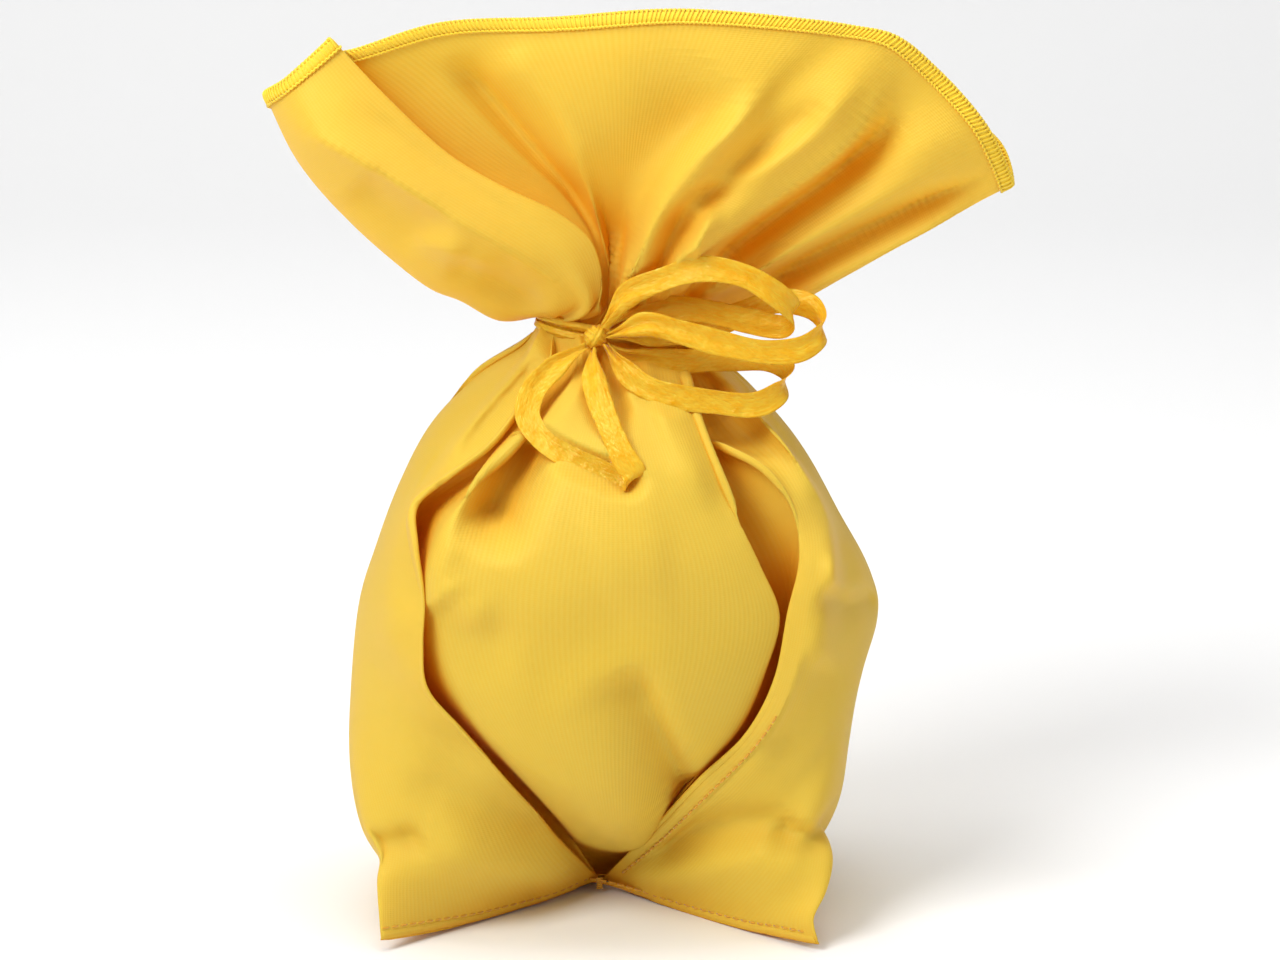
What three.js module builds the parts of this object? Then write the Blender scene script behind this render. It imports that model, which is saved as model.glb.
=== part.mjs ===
// A gathered fabric gift sack: a filled pouch, a ribbon tied round its neck, and a fanned collar above it.
// Units are millimetres. +Z is up, the front of the sack faces -Y, and it stands on z = 0.
import * as THREE from 'three';

// pouch
const cornerLeft = -65;         // bottom seam's left corner, along X
const cornerRight = 45;         // bottom seam's right corner, along X
const cornerForward = 42;       // how far in front of the middle both corners lie
const seamNotch = 45;           // how far back the middle of the bottom seam folds
const bellyLeft = 7;            // the belly's swell past each corner
const bellyRight = 15;
const bellyFront = 42;
const bellyBack = 42;
const wall = 1.2;               // stand-in thickness of the cloth
const foldSoftness = 0.12;      // rounds the fold at the middle of the bottom seam, as a share of its reach
const pouchTop = 144.5;
const pouchSides = 44;

// neck, ribbon and knot
const neckX = -5.9;
const tieRise = 4;              // the tie's middle above the pouch's top
const neckZ = pouchTop + tieRise;
const neckHalfWidth = 18.5;
const neckHalfDepth = 9;
const neckSlope = -0.13;        // the tie runs downhill to the right
const gap = 0.3;                // clearance wherever two pieces meet
const turnHeight = 2;           // the ribbon bunched in each turn
const turnThick = 1.1;
const turnSlack = 0.05;         // the turns stand this much further off the gathers than the gap
const knotRadius = 3.3;
const knotX = -10.5;
const knotRise = 1.2;           // above the neck's centre
const knotProud = 0.4;          // how far the knot stands off the turns
const knotSquash = 0.92;
const ribbonWidth = 6;
const ribbonThick = 0.7;
const ribbonPinch = 0.25;       // share of the width left where a loop enters the knot
const pinchLength = 9;
const ribbonStep = 2.6;         // spacing of the ribbon's sections

// collar
const rimHeight = 85;           // straight part of the rim above the neck's centre
const rimReach = 106.5;         // longest run of cloth from neck to rim
const fanLeft = -54.5;          // degrees from straight up
const fanRight = 68.6;
const rimFront = 14;
const rimBack = 22;
const rimBackDrop = 15;         // the back layer falls this much lower
const stemRise = 4;             // the gathers are solid this far above the tie's middle
const stemTop = neckZ + stemRise;
const collarSides = 56;

// sewing
const edgeDepth = 2.6;          // overlocked edge, down from the rim
const edgeThick = 0.7;
const fanInset = 60;            // eases the collar's inner skin away from both outer folds
const bindingHeight = 3;
const bindingThick = 1;
const seamLift = 3.5;           // the folded middle of the bottom seam stands off the table
const seamClear = 0.4;          // below the binding at both corners
const topstitchLift = 0.9;      // bottom stitching above the binding
const seamAcross = [0.8, -0.6]; // rightward across the front seam, along X and Z
const stitchPitch = 2.6;
const threadRadius = 0.35;
const stripWidth = 6;
const stripThick = 0.6;
const tackLength = 3.4;
const tackWidth = 1.6;
const tackThick = 1;
const stitchBow = 0.3;
const stuffingInset = 4;
const stuffingFoot = 0.6;       // stuffing above the cloth that it stands on
const tipInset = 2;             // an inner skin stops this many insets short of the pouch's two edges

const clamp = (v, low, high) => Math.min(high, Math.max(low, v));
const smooth = (v) => { const t = clamp(v, 0, 1); return t * t * (3 - 2 * t); };
const mix = (a, b, t) => a + (b - a) * t;

// smooth monotone reading of [place, value] stations
function reading(stations) {
  return (at) => {
    const last = stations.length - 1;
    if (at <= stations[0][0]) return stations[0][1];
    if (at >= stations[last][0]) return stations[last][1];
    const i = stations.findIndex(([place]) => place > at) - 1;
    const slope = (k) => {
      const low = Math.max(0, k - 1);
      const high = Math.min(last, k + 1);
      return (stations[high][1] - stations[low][1]) / (stations[high][0] - stations[low][0]);
    };
    const [z0, v0] = stations[i];
    const [z1, v1] = stations[i + 1];
    const step = z1 - z0;
    const t = (at - z0) / step;
    return v0 * (1 + 2 * t) * (1 - t) ** 2 + v1 * t * t * (3 - 2 * t)
      + step * (slope(i) * t * (1 - t) ** 2 - slope(i + 1) * t * t * (1 - t));
  };
}

// triangles over a flat ring, turning the same way as the ring does
function capFaces(ring) {
  const normal = new THREE.Vector3();
  ring.forEach((p, i) => normal.add(p.clone().cross(ring[(i + 1) % ring.length])));
  normal.normalize();
  const right = ring[1].clone().sub(ring[0]).normalize();
  const up = normal.clone().cross(right);
  const flat = ring.map((p) => new THREE.Vector2(p.dot(right), p.dot(up)));
  const faces = THREE.ShapeUtils.triangulateShape(flat, []);
  const turned = faces.reduce((sum, face) => sum + THREE.ShapeUtils.area(face.map((i) => flat[i])), 0);
  return turned > 0 ? faces : faces.map(([a, b, c]) => [a, c, b]);
}

// a closed body from a run of rings with equal counts: capped at both ends, or joined end to start
function loft(rings, joined = false) {
  const count = rings[0].length;
  const positions = rings.flat().flatMap((p) => [p.x, p.y, p.z]);
  const index = [];
  const at = (ring, i) => (ring % rings.length) * count + (i % count);
  const bands = joined ? rings.length : rings.length - 1;
  for (let r = 0; r < bands; r++) {
    for (let i = 0; i < count; i++) {
      index.push(at(r, i), at(r, i + 1), at(r + 1, i + 1), at(r, i), at(r + 1, i + 1), at(r + 1, i));
    }
  }
  if (!joined) {
    for (const [a, b, c] of capFaces(rings[0])) index.push(at(0, c), at(0, b), at(0, a));
    const end = rings.length - 1;
    for (const [a, b, c] of capFaces(rings[end])) index.push(at(end, a), at(end, b), at(end, c));
  }
  const geometry = new THREE.BufferGeometry();
  geometry.setAttribute('position', new THREE.Float32BufferAttribute(positions, 3));
  geometry.setIndex(index);
  return facingOut(geometry);
}

// turns the faces round if the enclosed volume comes out negative
function facingOut(geometry) {
  const p = geometry.attributes.position;
  const index = geometry.index.array;
  const [a, b, c] = [new THREE.Vector3(), new THREE.Vector3(), new THREE.Vector3()];
  let volume = 0;
  for (let i = 0; i < index.length; i += 3) {
    a.fromBufferAttribute(p, index[i]);
    b.fromBufferAttribute(p, index[i + 1]);
    c.fromBufferAttribute(p, index[i + 2]);
    volume += a.dot(b.cross(c));
  }
  if (volume < 0) {
    for (let i = 0; i < index.length; i += 3) [index[i], index[i + 1]] = [index[i + 1], index[i]];
  }
  geometry.computeVertexNormals();
  return geometry;
}

const leftSide = reading([[0, cornerLeft], [17, cornerLeft], [30, cornerLeft - bellyLeft * 0.5],
  [44, cornerLeft - bellyLeft * 0.93], [58, cornerLeft - bellyLeft], [80, cornerLeft - bellyLeft * 0.7],
  [110, cornerLeft + 5], [125, cornerLeft + 13], [138, neckX - neckHalfWidth - 10],
  [pouchTop, neckX - neckHalfWidth]]);
const rightSide = reading([[0, cornerRight], [10, cornerRight + 2], [20, cornerRight + 2.5],
  [28, cornerRight + 0.5], [48, cornerRight + bellyRight * 0.47], [63, cornerRight + bellyRight * 0.67],
  [77, cornerRight + bellyRight], [90, cornerRight + bellyRight * 0.8], [103, cornerRight + 5],
  [122, cornerRight - 7], [136, neckX + neckHalfWidth + 12], [pouchTop, neckX + neckHalfWidth]]);
const sideY = reading([[0, -cornerForward], [16, -36], [30, -28], [43, -20], [56, -12], [80, -4],
  [93, 0], [pouchTop, 0]]);
const frontSwell = reading([[0, 0], [16, 4], [30, 10], [43, 18], [56, bellyFront - 14],
  [80, bellyFront - 5], [100, bellyFront - 5], [120, bellyFront - 13], [135, bellyFront - 24],
  [pouchTop, neckHalfDepth]]);
const backSwell = reading([[0, bellyBack + 36], [16, bellyBack + 34], [30, bellyBack + 28],
  [56, bellyBack + 12], [80, bellyBack + 2], [95, bellyBack - 4], [110, bellyBack - 9],
  [125, bellyBack - 17], [137, bellyBack - 27], [pouchTop, neckHalfDepth]]);
const notchDepth = reading([[0, seamNotch], [16, seamNotch * 0.7], [30, seamNotch * 0.36],
  [43, seamNotch * 0.12], [56, 0]]);
const bulgeFront = reading([[10, -seamNotch], [14, 8], [20, 20], [30, 29], [43, bellyFront - 6],
  [60, bellyFront]]);
const bulgeHalf = reading([[10, 4], [14, 9], [20, 17], [30, 26], [43, 36], [60, 44]]);

// the pouch's front and back at a height, u running -1 to 1 across it
function pouchDepth(u, x, z) {
  const round = Math.sqrt(Math.max(0, 1 - u * u));
  const reach = x < knotX ? knotX - cornerLeft : cornerRight - knotX;
  const fold = notchDepth(z) * Math.max(0, 1 - Math.hypot((x - knotX) / reach, foldSoftness));
  let front = sideY(z) - frontSwell(z) * round + fold;
  const across = (x - knotX) / bulgeHalf(z);
  if (z > 12 && z < 60 && Math.abs(across) < 1) {
    front = Math.min(front, 4 - bulgeFront(z) * Math.sqrt(1 - across * across));
  }
  return [front, sideY(z) + backSwell(z) * round];
}

// one place on the pouch, or on a smaller skin that lies inset within it
function pouchPoint(u, isBack, z, inset = 0) {
  const middle = (leftSide(z) + rightSide(z)) / 2;
  const half = (rightSide(z) - leftSide(z)) / 2;
  const x = middle + (half - tipInset * inset * u * u) * u;
  const [front, back] = pouchDepth((x - middle) / half, x, z);
  const step = Math.abs(u) > 0.999 ? (back - front) / 2 : Math.min(inset, (back - front) * 0.3);
  const lift = neckSlope * (x - neckX) * smooth((z - 110) / (pouchTop - 110));
  return new THREE.Vector3(x, isBack ? back - step : front + step, z + lift);
}

const pouchRing = (z, inset) => Array.from({ length: pouchSides }, (_, i) => {
  const angle = (2 * Math.PI * i) / pouchSides;
  return pouchPoint(-Math.cos(angle), i > pouchSides / 2, z, inset);
});

const pouchLevels = [0, 8, 16, 23, 30, 37, 45, 56, 68, 80, 92, 104, 116, 126, 134, 140, pouchTop];

function pouchCloth() {
  const outer = pouchLevels.map((z) => pouchRing(z, 0));
  const inner = pouchLevels.map((z) => pouchRing(Math.max(z, wall), wall)).reverse();
  return loft([...outer, ...inner]);
}

function stuffing() {
  const levels = pouchLevels.slice(1, -2);
  return loft([wall + stuffingFoot, ...levels].map((z) => pouchRing(z, stuffingInset)));
}

// one place on the collar: turn runs round its section, rise goes 0 to 1 from the neck to the rim
function collarPoint(turn, rise, inset = 0) {
  const u = -Math.cos(turn);
  const v = -Math.sin(turn);
  const neckAt = new THREE.Vector3(neckX + (neckHalfWidth - inset) * u, (neckHalfDepth - inset) * v, stemTop);
  const lean = THREE.MathUtils.degToRad(mix(fanLeft, fanRight, (u * (1 - inset / fanInset) + 1) / 2));
  const reach = Math.min(rimHeight / Math.cos(lean), rimReach);
  const depth = v < 0 ? rimFront : rimBack;
  const rimAt = new THREE.Vector3(
    neckX + reach * Math.sin(lean),
    (depth - inset) * v,
    neckZ + reach * Math.cos(lean) - rimBackDrop * Math.max(0, v));
  return neckAt.lerp(rimAt, rise);
}

const collarRing = (rise, inset) => Array.from({ length: collarSides }, (_, i) =>
  collarPoint((2 * Math.PI * i) / collarSides, rise, inset));

function neckRing(level, grow) {
  return Array.from({ length: collarSides }, (_, i) => {
    const turn = (2 * Math.PI * i) / collarSides;
    const x = neckX - (neckHalfWidth + grow) * Math.cos(turn);
    return new THREE.Vector3(x, -(neckHalfDepth + grow) * Math.sin(turn), level + neckSlope * (x - neckX));
  });
}

function collarCloth() {
  const rises = [0.06, 0.16, 0.32, 0.5, 0.7, 0.86, 1];
  const outer = rises.map((rise) => collarRing(rise, 0));
  const inner = rises.map((rise) => collarRing(rise, wall)).reverse();
  return loft([neckRing(pouchTop + gap, 0), neckRing(neckZ + 2.6, 0), ...outer, ...inner]);
}

// the overlocked edge straddles the rim all the way round
function rimOverlock() {
  const outerRim = collarRing(1, 0);
  const innerRim = collarRing(1, wall);
  const outerBelow = collarRing(0.9, 0);
  const innerBelow = collarRing(0.9, wall);
  const far = gap + edgeThick;
  const rings = outerRim.map((outer, i) => {
    const next = outerRim[(i + 1) % collarSides];
    const last = outerRim[(i + collarSides - 1) % collarSides];
    const upOuter = outer.clone().sub(outerBelow[i]).normalize();
    const upInner = innerRim[i].clone().sub(innerBelow[i]).normalize();
    const out = upOuter.clone().cross(next.clone().sub(last)).normalize();
    if (out.dot(outer.clone().sub(innerRim[i])) < 0) out.negate();
    const at = (from, side, up, rise) => from.clone().addScaledVector(out, side).addScaledVector(up, rise);
    const inner = innerRim[i];
    return [at(outer, far, upOuter, far), at(outer, far, upOuter, -edgeDepth),
      at(outer, gap, upOuter, -edgeDepth), at(outer, gap, upOuter, gap),
      at(inner, -gap, upInner, gap), at(inner, -gap, upInner, -edgeDepth),
      at(inner, -far, upInner, -edgeDepth), at(inner, -far, upInner, far)];
  });
  return loft(rings, true);
}

// one bunched turn of ribbon round the neck
function neckTurn(offset) {
  const near = gap + turnSlack;
  const section = [[near, -turnHeight / 2], [near + turnThick, -turnHeight / 2],
    [near + turnThick, turnHeight / 2], [near, turnHeight / 2]];
  const rings = Array.from({ length: collarSides }, (_, i) => section.map(([grow, rise]) =>
    neckRing(neckZ + offset + rise, grow)[i]));
  return loft(rings, true);
}

function knot() {
  const ball = new THREE.SphereGeometry(knotRadius, 16, 10);
  ball.scale(1, 1, knotSquash);
  return ball;
}

const knotAt = new THREE.Vector3(knotX, 0, neckZ + knotRise);
knotAt.y = -(neckHalfDepth * Math.sqrt(1 - ((knotX - neckX) / neckHalfWidth) ** 2)
  + gap * 2 + turnThick + knotRadius + knotProud);

// a flat ribbon along hand-placed points; widths gives the way its width runs, spread evenly from end to end
function ribbon(points, widths) {
  const path = new THREE.CatmullRomCurve3(points.map((p) => new THREE.Vector3(...p)), false, 'centripetal');
  const length = path.getLength();
  const steps = Math.round(length / ribbonStep);
  const across = new THREE.CatmullRomCurve3(widths.map((p) => new THREE.Vector3(...p)), false, 'centripetal');
  const rings = [];
  for (let i = 0; i <= steps; i++) {
    const t = i / steps;
    const along = path.getTangentAt(t);
    const side = across.getPoint(t);
    side.addScaledVector(along, -side.dot(along)).normalize();
    const face = along.clone().cross(side);
    const nearEnd = Math.min(t, 1 - t) * length;
    const half = (ribbonWidth / 2) * mix(ribbonPinch, 1, smooth(nearEnd / pinchLength));
    rings.push([[-1, -1], [1, -1], [1, 1], [-1, 1]].map(([s, h]) => path.getPointAt(t)
      .addScaledVector(side, s * half).addScaledVector(face, (h * ribbonThick) / 2)));
  }
  return loft(rings);
}

const upperLoop = [[-8.1, -15.5, 152.2], [-3.5, -17.5, 160], [5, -19.5, 164.6], [15, -22, 168], [25, -23, 166.6],
  [33, -23, 161.8], [37.5, -20.5, 156.6], [35, -17.3, 152.8], [26, -15.6, 154], [15, -14.6, 156.2],
  [5, -13.9, 156.3], [-3.5, -13.5, 154], [-7.45, -13.6, 151.8]];
const middleLoop = [[-7.4, -16.2, 150.2], [-3, -18.8, 152.4], [2, -21, 154.2], [10, -22.6, 152.6], [20, -23.6, 150],
  [31.5, -23.5, 147.8], [40, -22, 148.6], [44.6, -18.5, 152.2], [42, -13, 156.6], [34, -10.8, 157.6], [26, -11, 155],
  [17, -11.6, 151.4], [6, -12.1, 149.6], [-2, -12.7, 149.9], [-6.8, -13.3, 149.8]];
const lowerLoop = [[-8.1, -16.4, 148], [-5.2, -19.2, 144.4], [-1, -22, 140.6], [5, -23.8, 137.8], [18, -24, 135.6],
  [29, -23.6, 135], [34.8, -21.5, 138.4], [35.6, -18.5, 142.4], [31, -16.6, 144.6], [20, -15.2, 144],
  [8, -14.6, 143.4], [-2, -14, 144.4], [-7.9, -13.2, 147.1]];
const tailLoop = [[-12.75, -16.5, 147.9], [-19.5, -20.2, 144], [-25.4, -23.5, 138.6], [-26.9, -27.2, 133],
  [-23.5, -31, 128.4], [-16.5, -34.4, 124.6], [-9, -37.2, 121.6], [-2.8, -39.4, 119.8], [-1.2, -40.8, 121.6],
  [-4.2, -39, 126.4], [-8.4, -33, 135], [-11, -25.6, 141.8], [-11.4, -20.4, 145], [-11.1, -16.7, 147.1]];

const yellow = 0xf5cd4b;
const thread = 0xf0b52a;
const satin = 0xf7bd1e;
const gift = new THREE.Group();

function add(name, geometry, colour, roughness, place) {
  const material = new THREE.MeshStandardMaterial({ color: colour, roughness, metalness: 0 });
  const mesh = new THREE.Mesh(geometry, material);
  mesh.name = name;
  if (place) mesh.position.copy(place);
  gift.add(mesh);
}

// the pouch's front, straight behind a place in the X-Z plane
function frontAt(x, z) {
  const above = Math.max(1, pouchLevels.findIndex((level) => level > z));
  const [low, high] = [pouchLevels[above - 1], pouchLevels[above]];
  const [yLow, yHigh] = [low, high].map((level) => {
    const front = pouchRing(level, 0).slice(0, pouchSides / 2 + 1);
    const i = clamp(front.findIndex((p) => p.x > x), 1, front.length - 1);
    const share = clamp((x - front[i - 1].x) / (front[i].x - front[i - 1].x), 0, 1);
    return mix(front[i - 1].y, front[i].y, share);
  });
  return mix(yLow, yHigh, (z - low) / (high - low));
}

const upAndAcross = (places) =>
  new THREE.CatmullRomCurve3(places.map(([x, z]) => new THREE.Vector3(x, 0, z)), false, 'centripetal');

// a strip laid on the front of the pouch along [x, z] places
function appliedStrip(places, width, thick, steps) {
  const path = upAndAcross(places);
  const rings = [];
  for (let i = 0; i <= steps; i++) {
    const p = path.getPointAt(i / steps);
    const along = path.getTangentAt(i / steps);
    const edges = [-0.5, 0, 0.5].map((s) => [p.x - along.z * width * s, p.z + along.x * width * s]);
    const front = Math.min(...edges.map(([x, z]) => frontAt(x, z))) - gap;
    rings.push([[0, 0], [2, 0], [2, 1], [0, 1]].map(([k, h]) =>
      new THREE.Vector3(edges[k][0], front - h * thick, edges[k][1])));
  }
  return loft(rings);
}

// a row of lockstitches as one thread that bows out between its needle holes
function stitchRow(places, offset) {
  const path = upAndAcross(places);
  const perStitch = 4;
  const steps = Math.round(path.getLength() / stitchPitch) * perStitch;
  const rings = [];
  for (let i = 0; i <= steps; i++) {
    const p = path.getPointAt(i / steps);
    const along = path.getTangentAt(i / steps);
    const across = new THREE.Vector3(-along.z, 0, along.x);
    const bow = stitchBow * Math.abs(Math.sin((Math.PI * i) / perStitch));
    const centre = new THREE.Vector3(p.x, frontAt(p.x, p.z) - offset - threadRadius - bow, p.z);
    rings.push([[1, 0], [0, 1], [-1, 0], [0, -1]].map(([s, h]) => centre.clone()
      .addScaledVector(across, s * threadRadius).setY(centre.y + h * threadRadius)));
  }
  return loft(rings);
}

// the bottom seam: low at both corners, a little off the table where it folds back in the middle
function seamPath(rise) {
  const ends = bindingHeight / 2 + seamClear + rise;
  const middle = ends + seamLift;
  return [[cornerLeft + 3, ends], [mix(cornerLeft, knotX, 0.5), mix(ends, middle, 0.4)], [knotX, middle],
    [mix(cornerRight, knotX, 0.5), mix(ends, middle, 0.4)], [cornerRight - 3, ends]];
}

const frontSeam = [[-6, 12], [4, 19], [14, 30], [24, 44], [31, 56], [34, 68], [36, 80], [42, 94]];
const besideSeam = (side) => frontSeam.map(([x, z]) => [x + side * seamAcross[0], z + side * seamAcross[1]]);

add('pouch_cloth', pouchCloth(), yellow, 0.5);
add('collar_cloth', collarCloth(), yellow, 0.5);
add('stuffing', stuffing(), 0xf4f1ea, 0.95);
add('bottom_seam_binding', appliedStrip(seamPath(0), bindingHeight, bindingThick, 44), yellow, 0.5);
add('bottom_seam_stitching', stitchRow(seamPath(bindingHeight / 2 + topstitchLift), gap), thread, 0.7);
add('front_seam_strip', appliedStrip(frontSeam, stripWidth, stripThick, 36), yellow, 0.5);
add('front_seam_stitching', stitchRow(besideSeam(stripWidth / 2 + threadRadius + 2 * gap), gap), thread, 0.7);
add('centre_bartack', new THREE.BoxGeometry(tackWidth, tackThick, tackLength), thread, 0.7, new THREE.Vector3(
  knotX,
  frontAt(knotX, bindingHeight + seamLift) - 4 * gap - bindingThick - tackThick / 2,
  bindingHeight / 2 + seamClear + seamLift));
add('rim_overlock', rimOverlock(), thread, 0.7);
add('neck_turn_upper', neckTurn((turnHeight + gap) / 2), satin, 0.35);
add('neck_turn_lower', neckTurn(-(turnHeight + gap) / 2), satin, 0.35);
add('knot', knot(), satin, 0.35, knotAt);
add('loop_upper', ribbon(upperLoop, [[0, 0.4, 0.9], [0.1, 0.3, 1], [0.2, 0.4, 1], [0, 0, 1]]), satin, 0.35);
add('loop_middle', ribbon(middleLoop, [[0, 0.2, 1], [0, 0.1, 1], [0, 0.1, 1]]), satin, 0.35);
add('loop_lower', ribbon(lowerLoop, [[0.6, 0.2, 0.8], [0, 0.1, 1], [0, 0, 1]]), satin, 0.35);
add('tail_loop', ribbon(tailLoop, [[1, 0.3, 0.2], [0.8, 0.2, 0.4], [0.7, 0.1, 0.7], [1, 0.2, 0.3]]), satin, 0.35);
export default gift;
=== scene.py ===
import math
import random

import bmesh
import bpy
import numpy as np
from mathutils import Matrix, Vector
from mathutils.bvhtree import BVHTree


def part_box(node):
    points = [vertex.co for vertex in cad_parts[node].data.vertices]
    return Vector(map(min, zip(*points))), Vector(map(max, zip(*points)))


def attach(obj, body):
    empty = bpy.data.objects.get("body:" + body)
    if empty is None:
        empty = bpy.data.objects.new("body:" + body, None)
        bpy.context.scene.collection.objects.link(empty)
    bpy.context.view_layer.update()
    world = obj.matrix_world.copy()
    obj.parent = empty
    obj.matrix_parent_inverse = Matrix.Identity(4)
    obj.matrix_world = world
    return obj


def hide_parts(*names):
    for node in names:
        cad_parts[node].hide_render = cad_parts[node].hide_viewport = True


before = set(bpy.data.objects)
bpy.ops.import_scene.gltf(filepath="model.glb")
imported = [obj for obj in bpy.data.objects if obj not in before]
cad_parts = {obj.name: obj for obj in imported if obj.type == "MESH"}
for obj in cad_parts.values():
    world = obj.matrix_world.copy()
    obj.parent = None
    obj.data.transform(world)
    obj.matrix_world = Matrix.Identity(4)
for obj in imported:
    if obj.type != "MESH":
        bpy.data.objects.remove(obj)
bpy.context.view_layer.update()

mm = 0.001


# sizes read off the frame, in millimetres
def boxOf(node):
    low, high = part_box(node)
    return np.array(low) / mm, np.array(high) / mm


turnLow, turnHigh = boxOf("neck_turn_lower")
upperTurnHigh = boxOf("neck_turn_upper")[1]
knotLow, knotHigh = boxOf("knot")
knotAt = (knotLow + knotHigh) / 2
neckAt = np.array([(turnLow[0] + turnHigh[0]) / 2, 0.0, (turnLow[2] + upperTurnHigh[2]) / 2])

# camera: a long lens a little above the sack, with room all round it
cameraSetup = {"distance": 950.0, "lift": 15.0, "frameWidth": 320.0, "lookAt": (0.25, 0.0, 109.6)}
liftAngle = math.radians(cameraSetup["lift"])
forward = np.array([0.0, math.cos(liftAngle), -math.sin(liftAngle)])
boardUp = np.array([0.0, math.sin(liftAngle), math.cos(liftAngle)])
lookAt = np.array(cameraSetup["lookAt"])
eye = lookAt - forward * cameraSetup["distance"]
boardBase = 116.75          # height on the board of the point that the camera looks at


def makeCamera():
    data = bpy.data.cameras.new("studioCamera")
    data.sensor_width = 36
    data.lens = data.sensor_width * cameraSetup["distance"] / cameraSetup["frameWidth"]
    data.clip_start, data.clip_end = 0.05, 20
    camera = bpy.data.objects.new("studioCamera", data)
    bpy.context.scene.collection.objects.link(camera)
    camera.location = eye * mm
    camera.rotation_euler = (math.pi / 2 - liftAngle, 0, 0)
    bpy.context.scene.camera = camera


makeCamera()
print("camera placed")


# a place marked by how it looks on a board that faces the viewer: x along it, up it, and its depth y
def seen(x, up, y):
    onBoard = lookAt + np.array([x - lookAt[0], 0, 0]) + boardUp * (up - boardBase)
    ray = onBoard - eye
    return eye + ray * (y - eye[1]) / ray[1]


def unit(v):
    v = np.asarray(v, float)
    return v / np.maximum(np.linalg.norm(v, axis=-1, keepdims=True), 1e-9)


def easeInOut(v):
    v = np.clip(v, 0, 1)
    return v * v * (3 - 2 * v)


# centripetal spline through p1 to p2, for arrays of points
def splineSpan(p0, p1, p2, p3, count, withEnd=False):
    def knot(a, b):
        return np.sqrt(np.linalg.norm(b - a, axis=-1, keepdims=True)) + 0.05
    t1 = knot(p0, p1)
    t2 = t1 + knot(p1, p2)
    t3 = t2 + knot(p2, p3)
    out = []
    for i in range(count + (1 if withEnd else 0)):
        t = t1 + (t2 - t1) * i / count
        a1 = (p0 * (t1 - t) + p1 * t) / t1
        a2 = (p1 * (t2 - t) + p2 * (t - t1)) / (t2 - t1)
        a3 = (p2 * (t3 - t) + p3 * (t - t2)) / (t3 - t2)
        b1 = (a1 * (t2 - t) + a2 * t) / t2
        b2 = (a2 * (t3 - t) + a3 * (t - t1)) / (t3 - t1)
        out.append((b1 * (t2 - t) + b2 * (t - t1)) / (t2 - t1))
    return out


# an open line through the points, resampled to even steps
def smoothLine(points, count, perSpan=14):
    p = np.array(points, float)
    p = np.vstack([2 * p[0] - p[1], p, 2 * p[-1] - p[-2]])
    line = []
    for i in range(1, len(p) - 2):
        line += splineSpan(p[i - 1], p[i], p[i + 1], p[i + 2], perSpan, i == len(p) - 3)
    return evenly(np.array(line), count)


def evenly(line, count):
    run = np.concatenate([[0], np.cumsum(np.linalg.norm(np.diff(line, axis=0), axis=1))])
    at = np.linspace(0, run[-1], count)
    return np.stack([np.interp(at, run, line[:, k]) for k in range(line.shape[1])], axis=1)


# a closed skin across guide lines that run side by side: returns points[around, along]
def skin(guides, alongCount, step):
    lines = np.array([smoothLine(g, alongCount) for g in guides])
    count = len(lines)
    rows, owner = [], []
    for g in range(count):
        p0, p1, p2, p3 = (lines[(g + k) % count] for k in (-1, 0, 1, 2))
        width = np.linalg.norm(p2 - p1, axis=1).mean()
        spans = splineSpan(p0, p1, p2, p3, max(3, round(width / step)))
        rows += spans
        owner += [g + k / len(spans) for k in range(len(spans))]
    return np.array(rows), np.array(owner)


def skinNormals(points):
    around = np.roll(points, -1, 0) - np.roll(points, 1, 0)
    along = np.gradient(points, axis=1)
    return unit(np.cross(around, along))


def relax(points, rounds, keepEnds=2):
    for _ in range(rounds):
        mean = (np.roll(points, 1, 0) + np.roll(points, -1, 0)) / 2
        inner = points.copy()
        inner[:, 1:-1] = (mean[:, 1:-1] + (points[:, :-2] + points[:, 2:]) / 2) / 2
        points = points.copy()
        points[:, keepEnds:-keepEnds] = (points[:, keepEnds:-keepEnds] + inner[:, keepEnds:-keepEnds]) / 2
    return points


# joins points that lie on each other, closes what is open and turns every face outwards
def weld(mesh):
    shell = bmesh.new()
    shell.from_mesh(mesh)
    bmesh.ops.remove_doubles(shell, verts=shell.verts, dist=1e-7)
    bmesh.ops.holes_fill(shell, edges=[edge for edge in shell.edges if edge.is_boundary], sides=0)
    bmesh.ops.recalc_face_normals(shell, faces=shell.faces)
    for face in shell.faces:
        face.smooth = True
    shell.to_mesh(mesh)
    shell.free()


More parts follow.
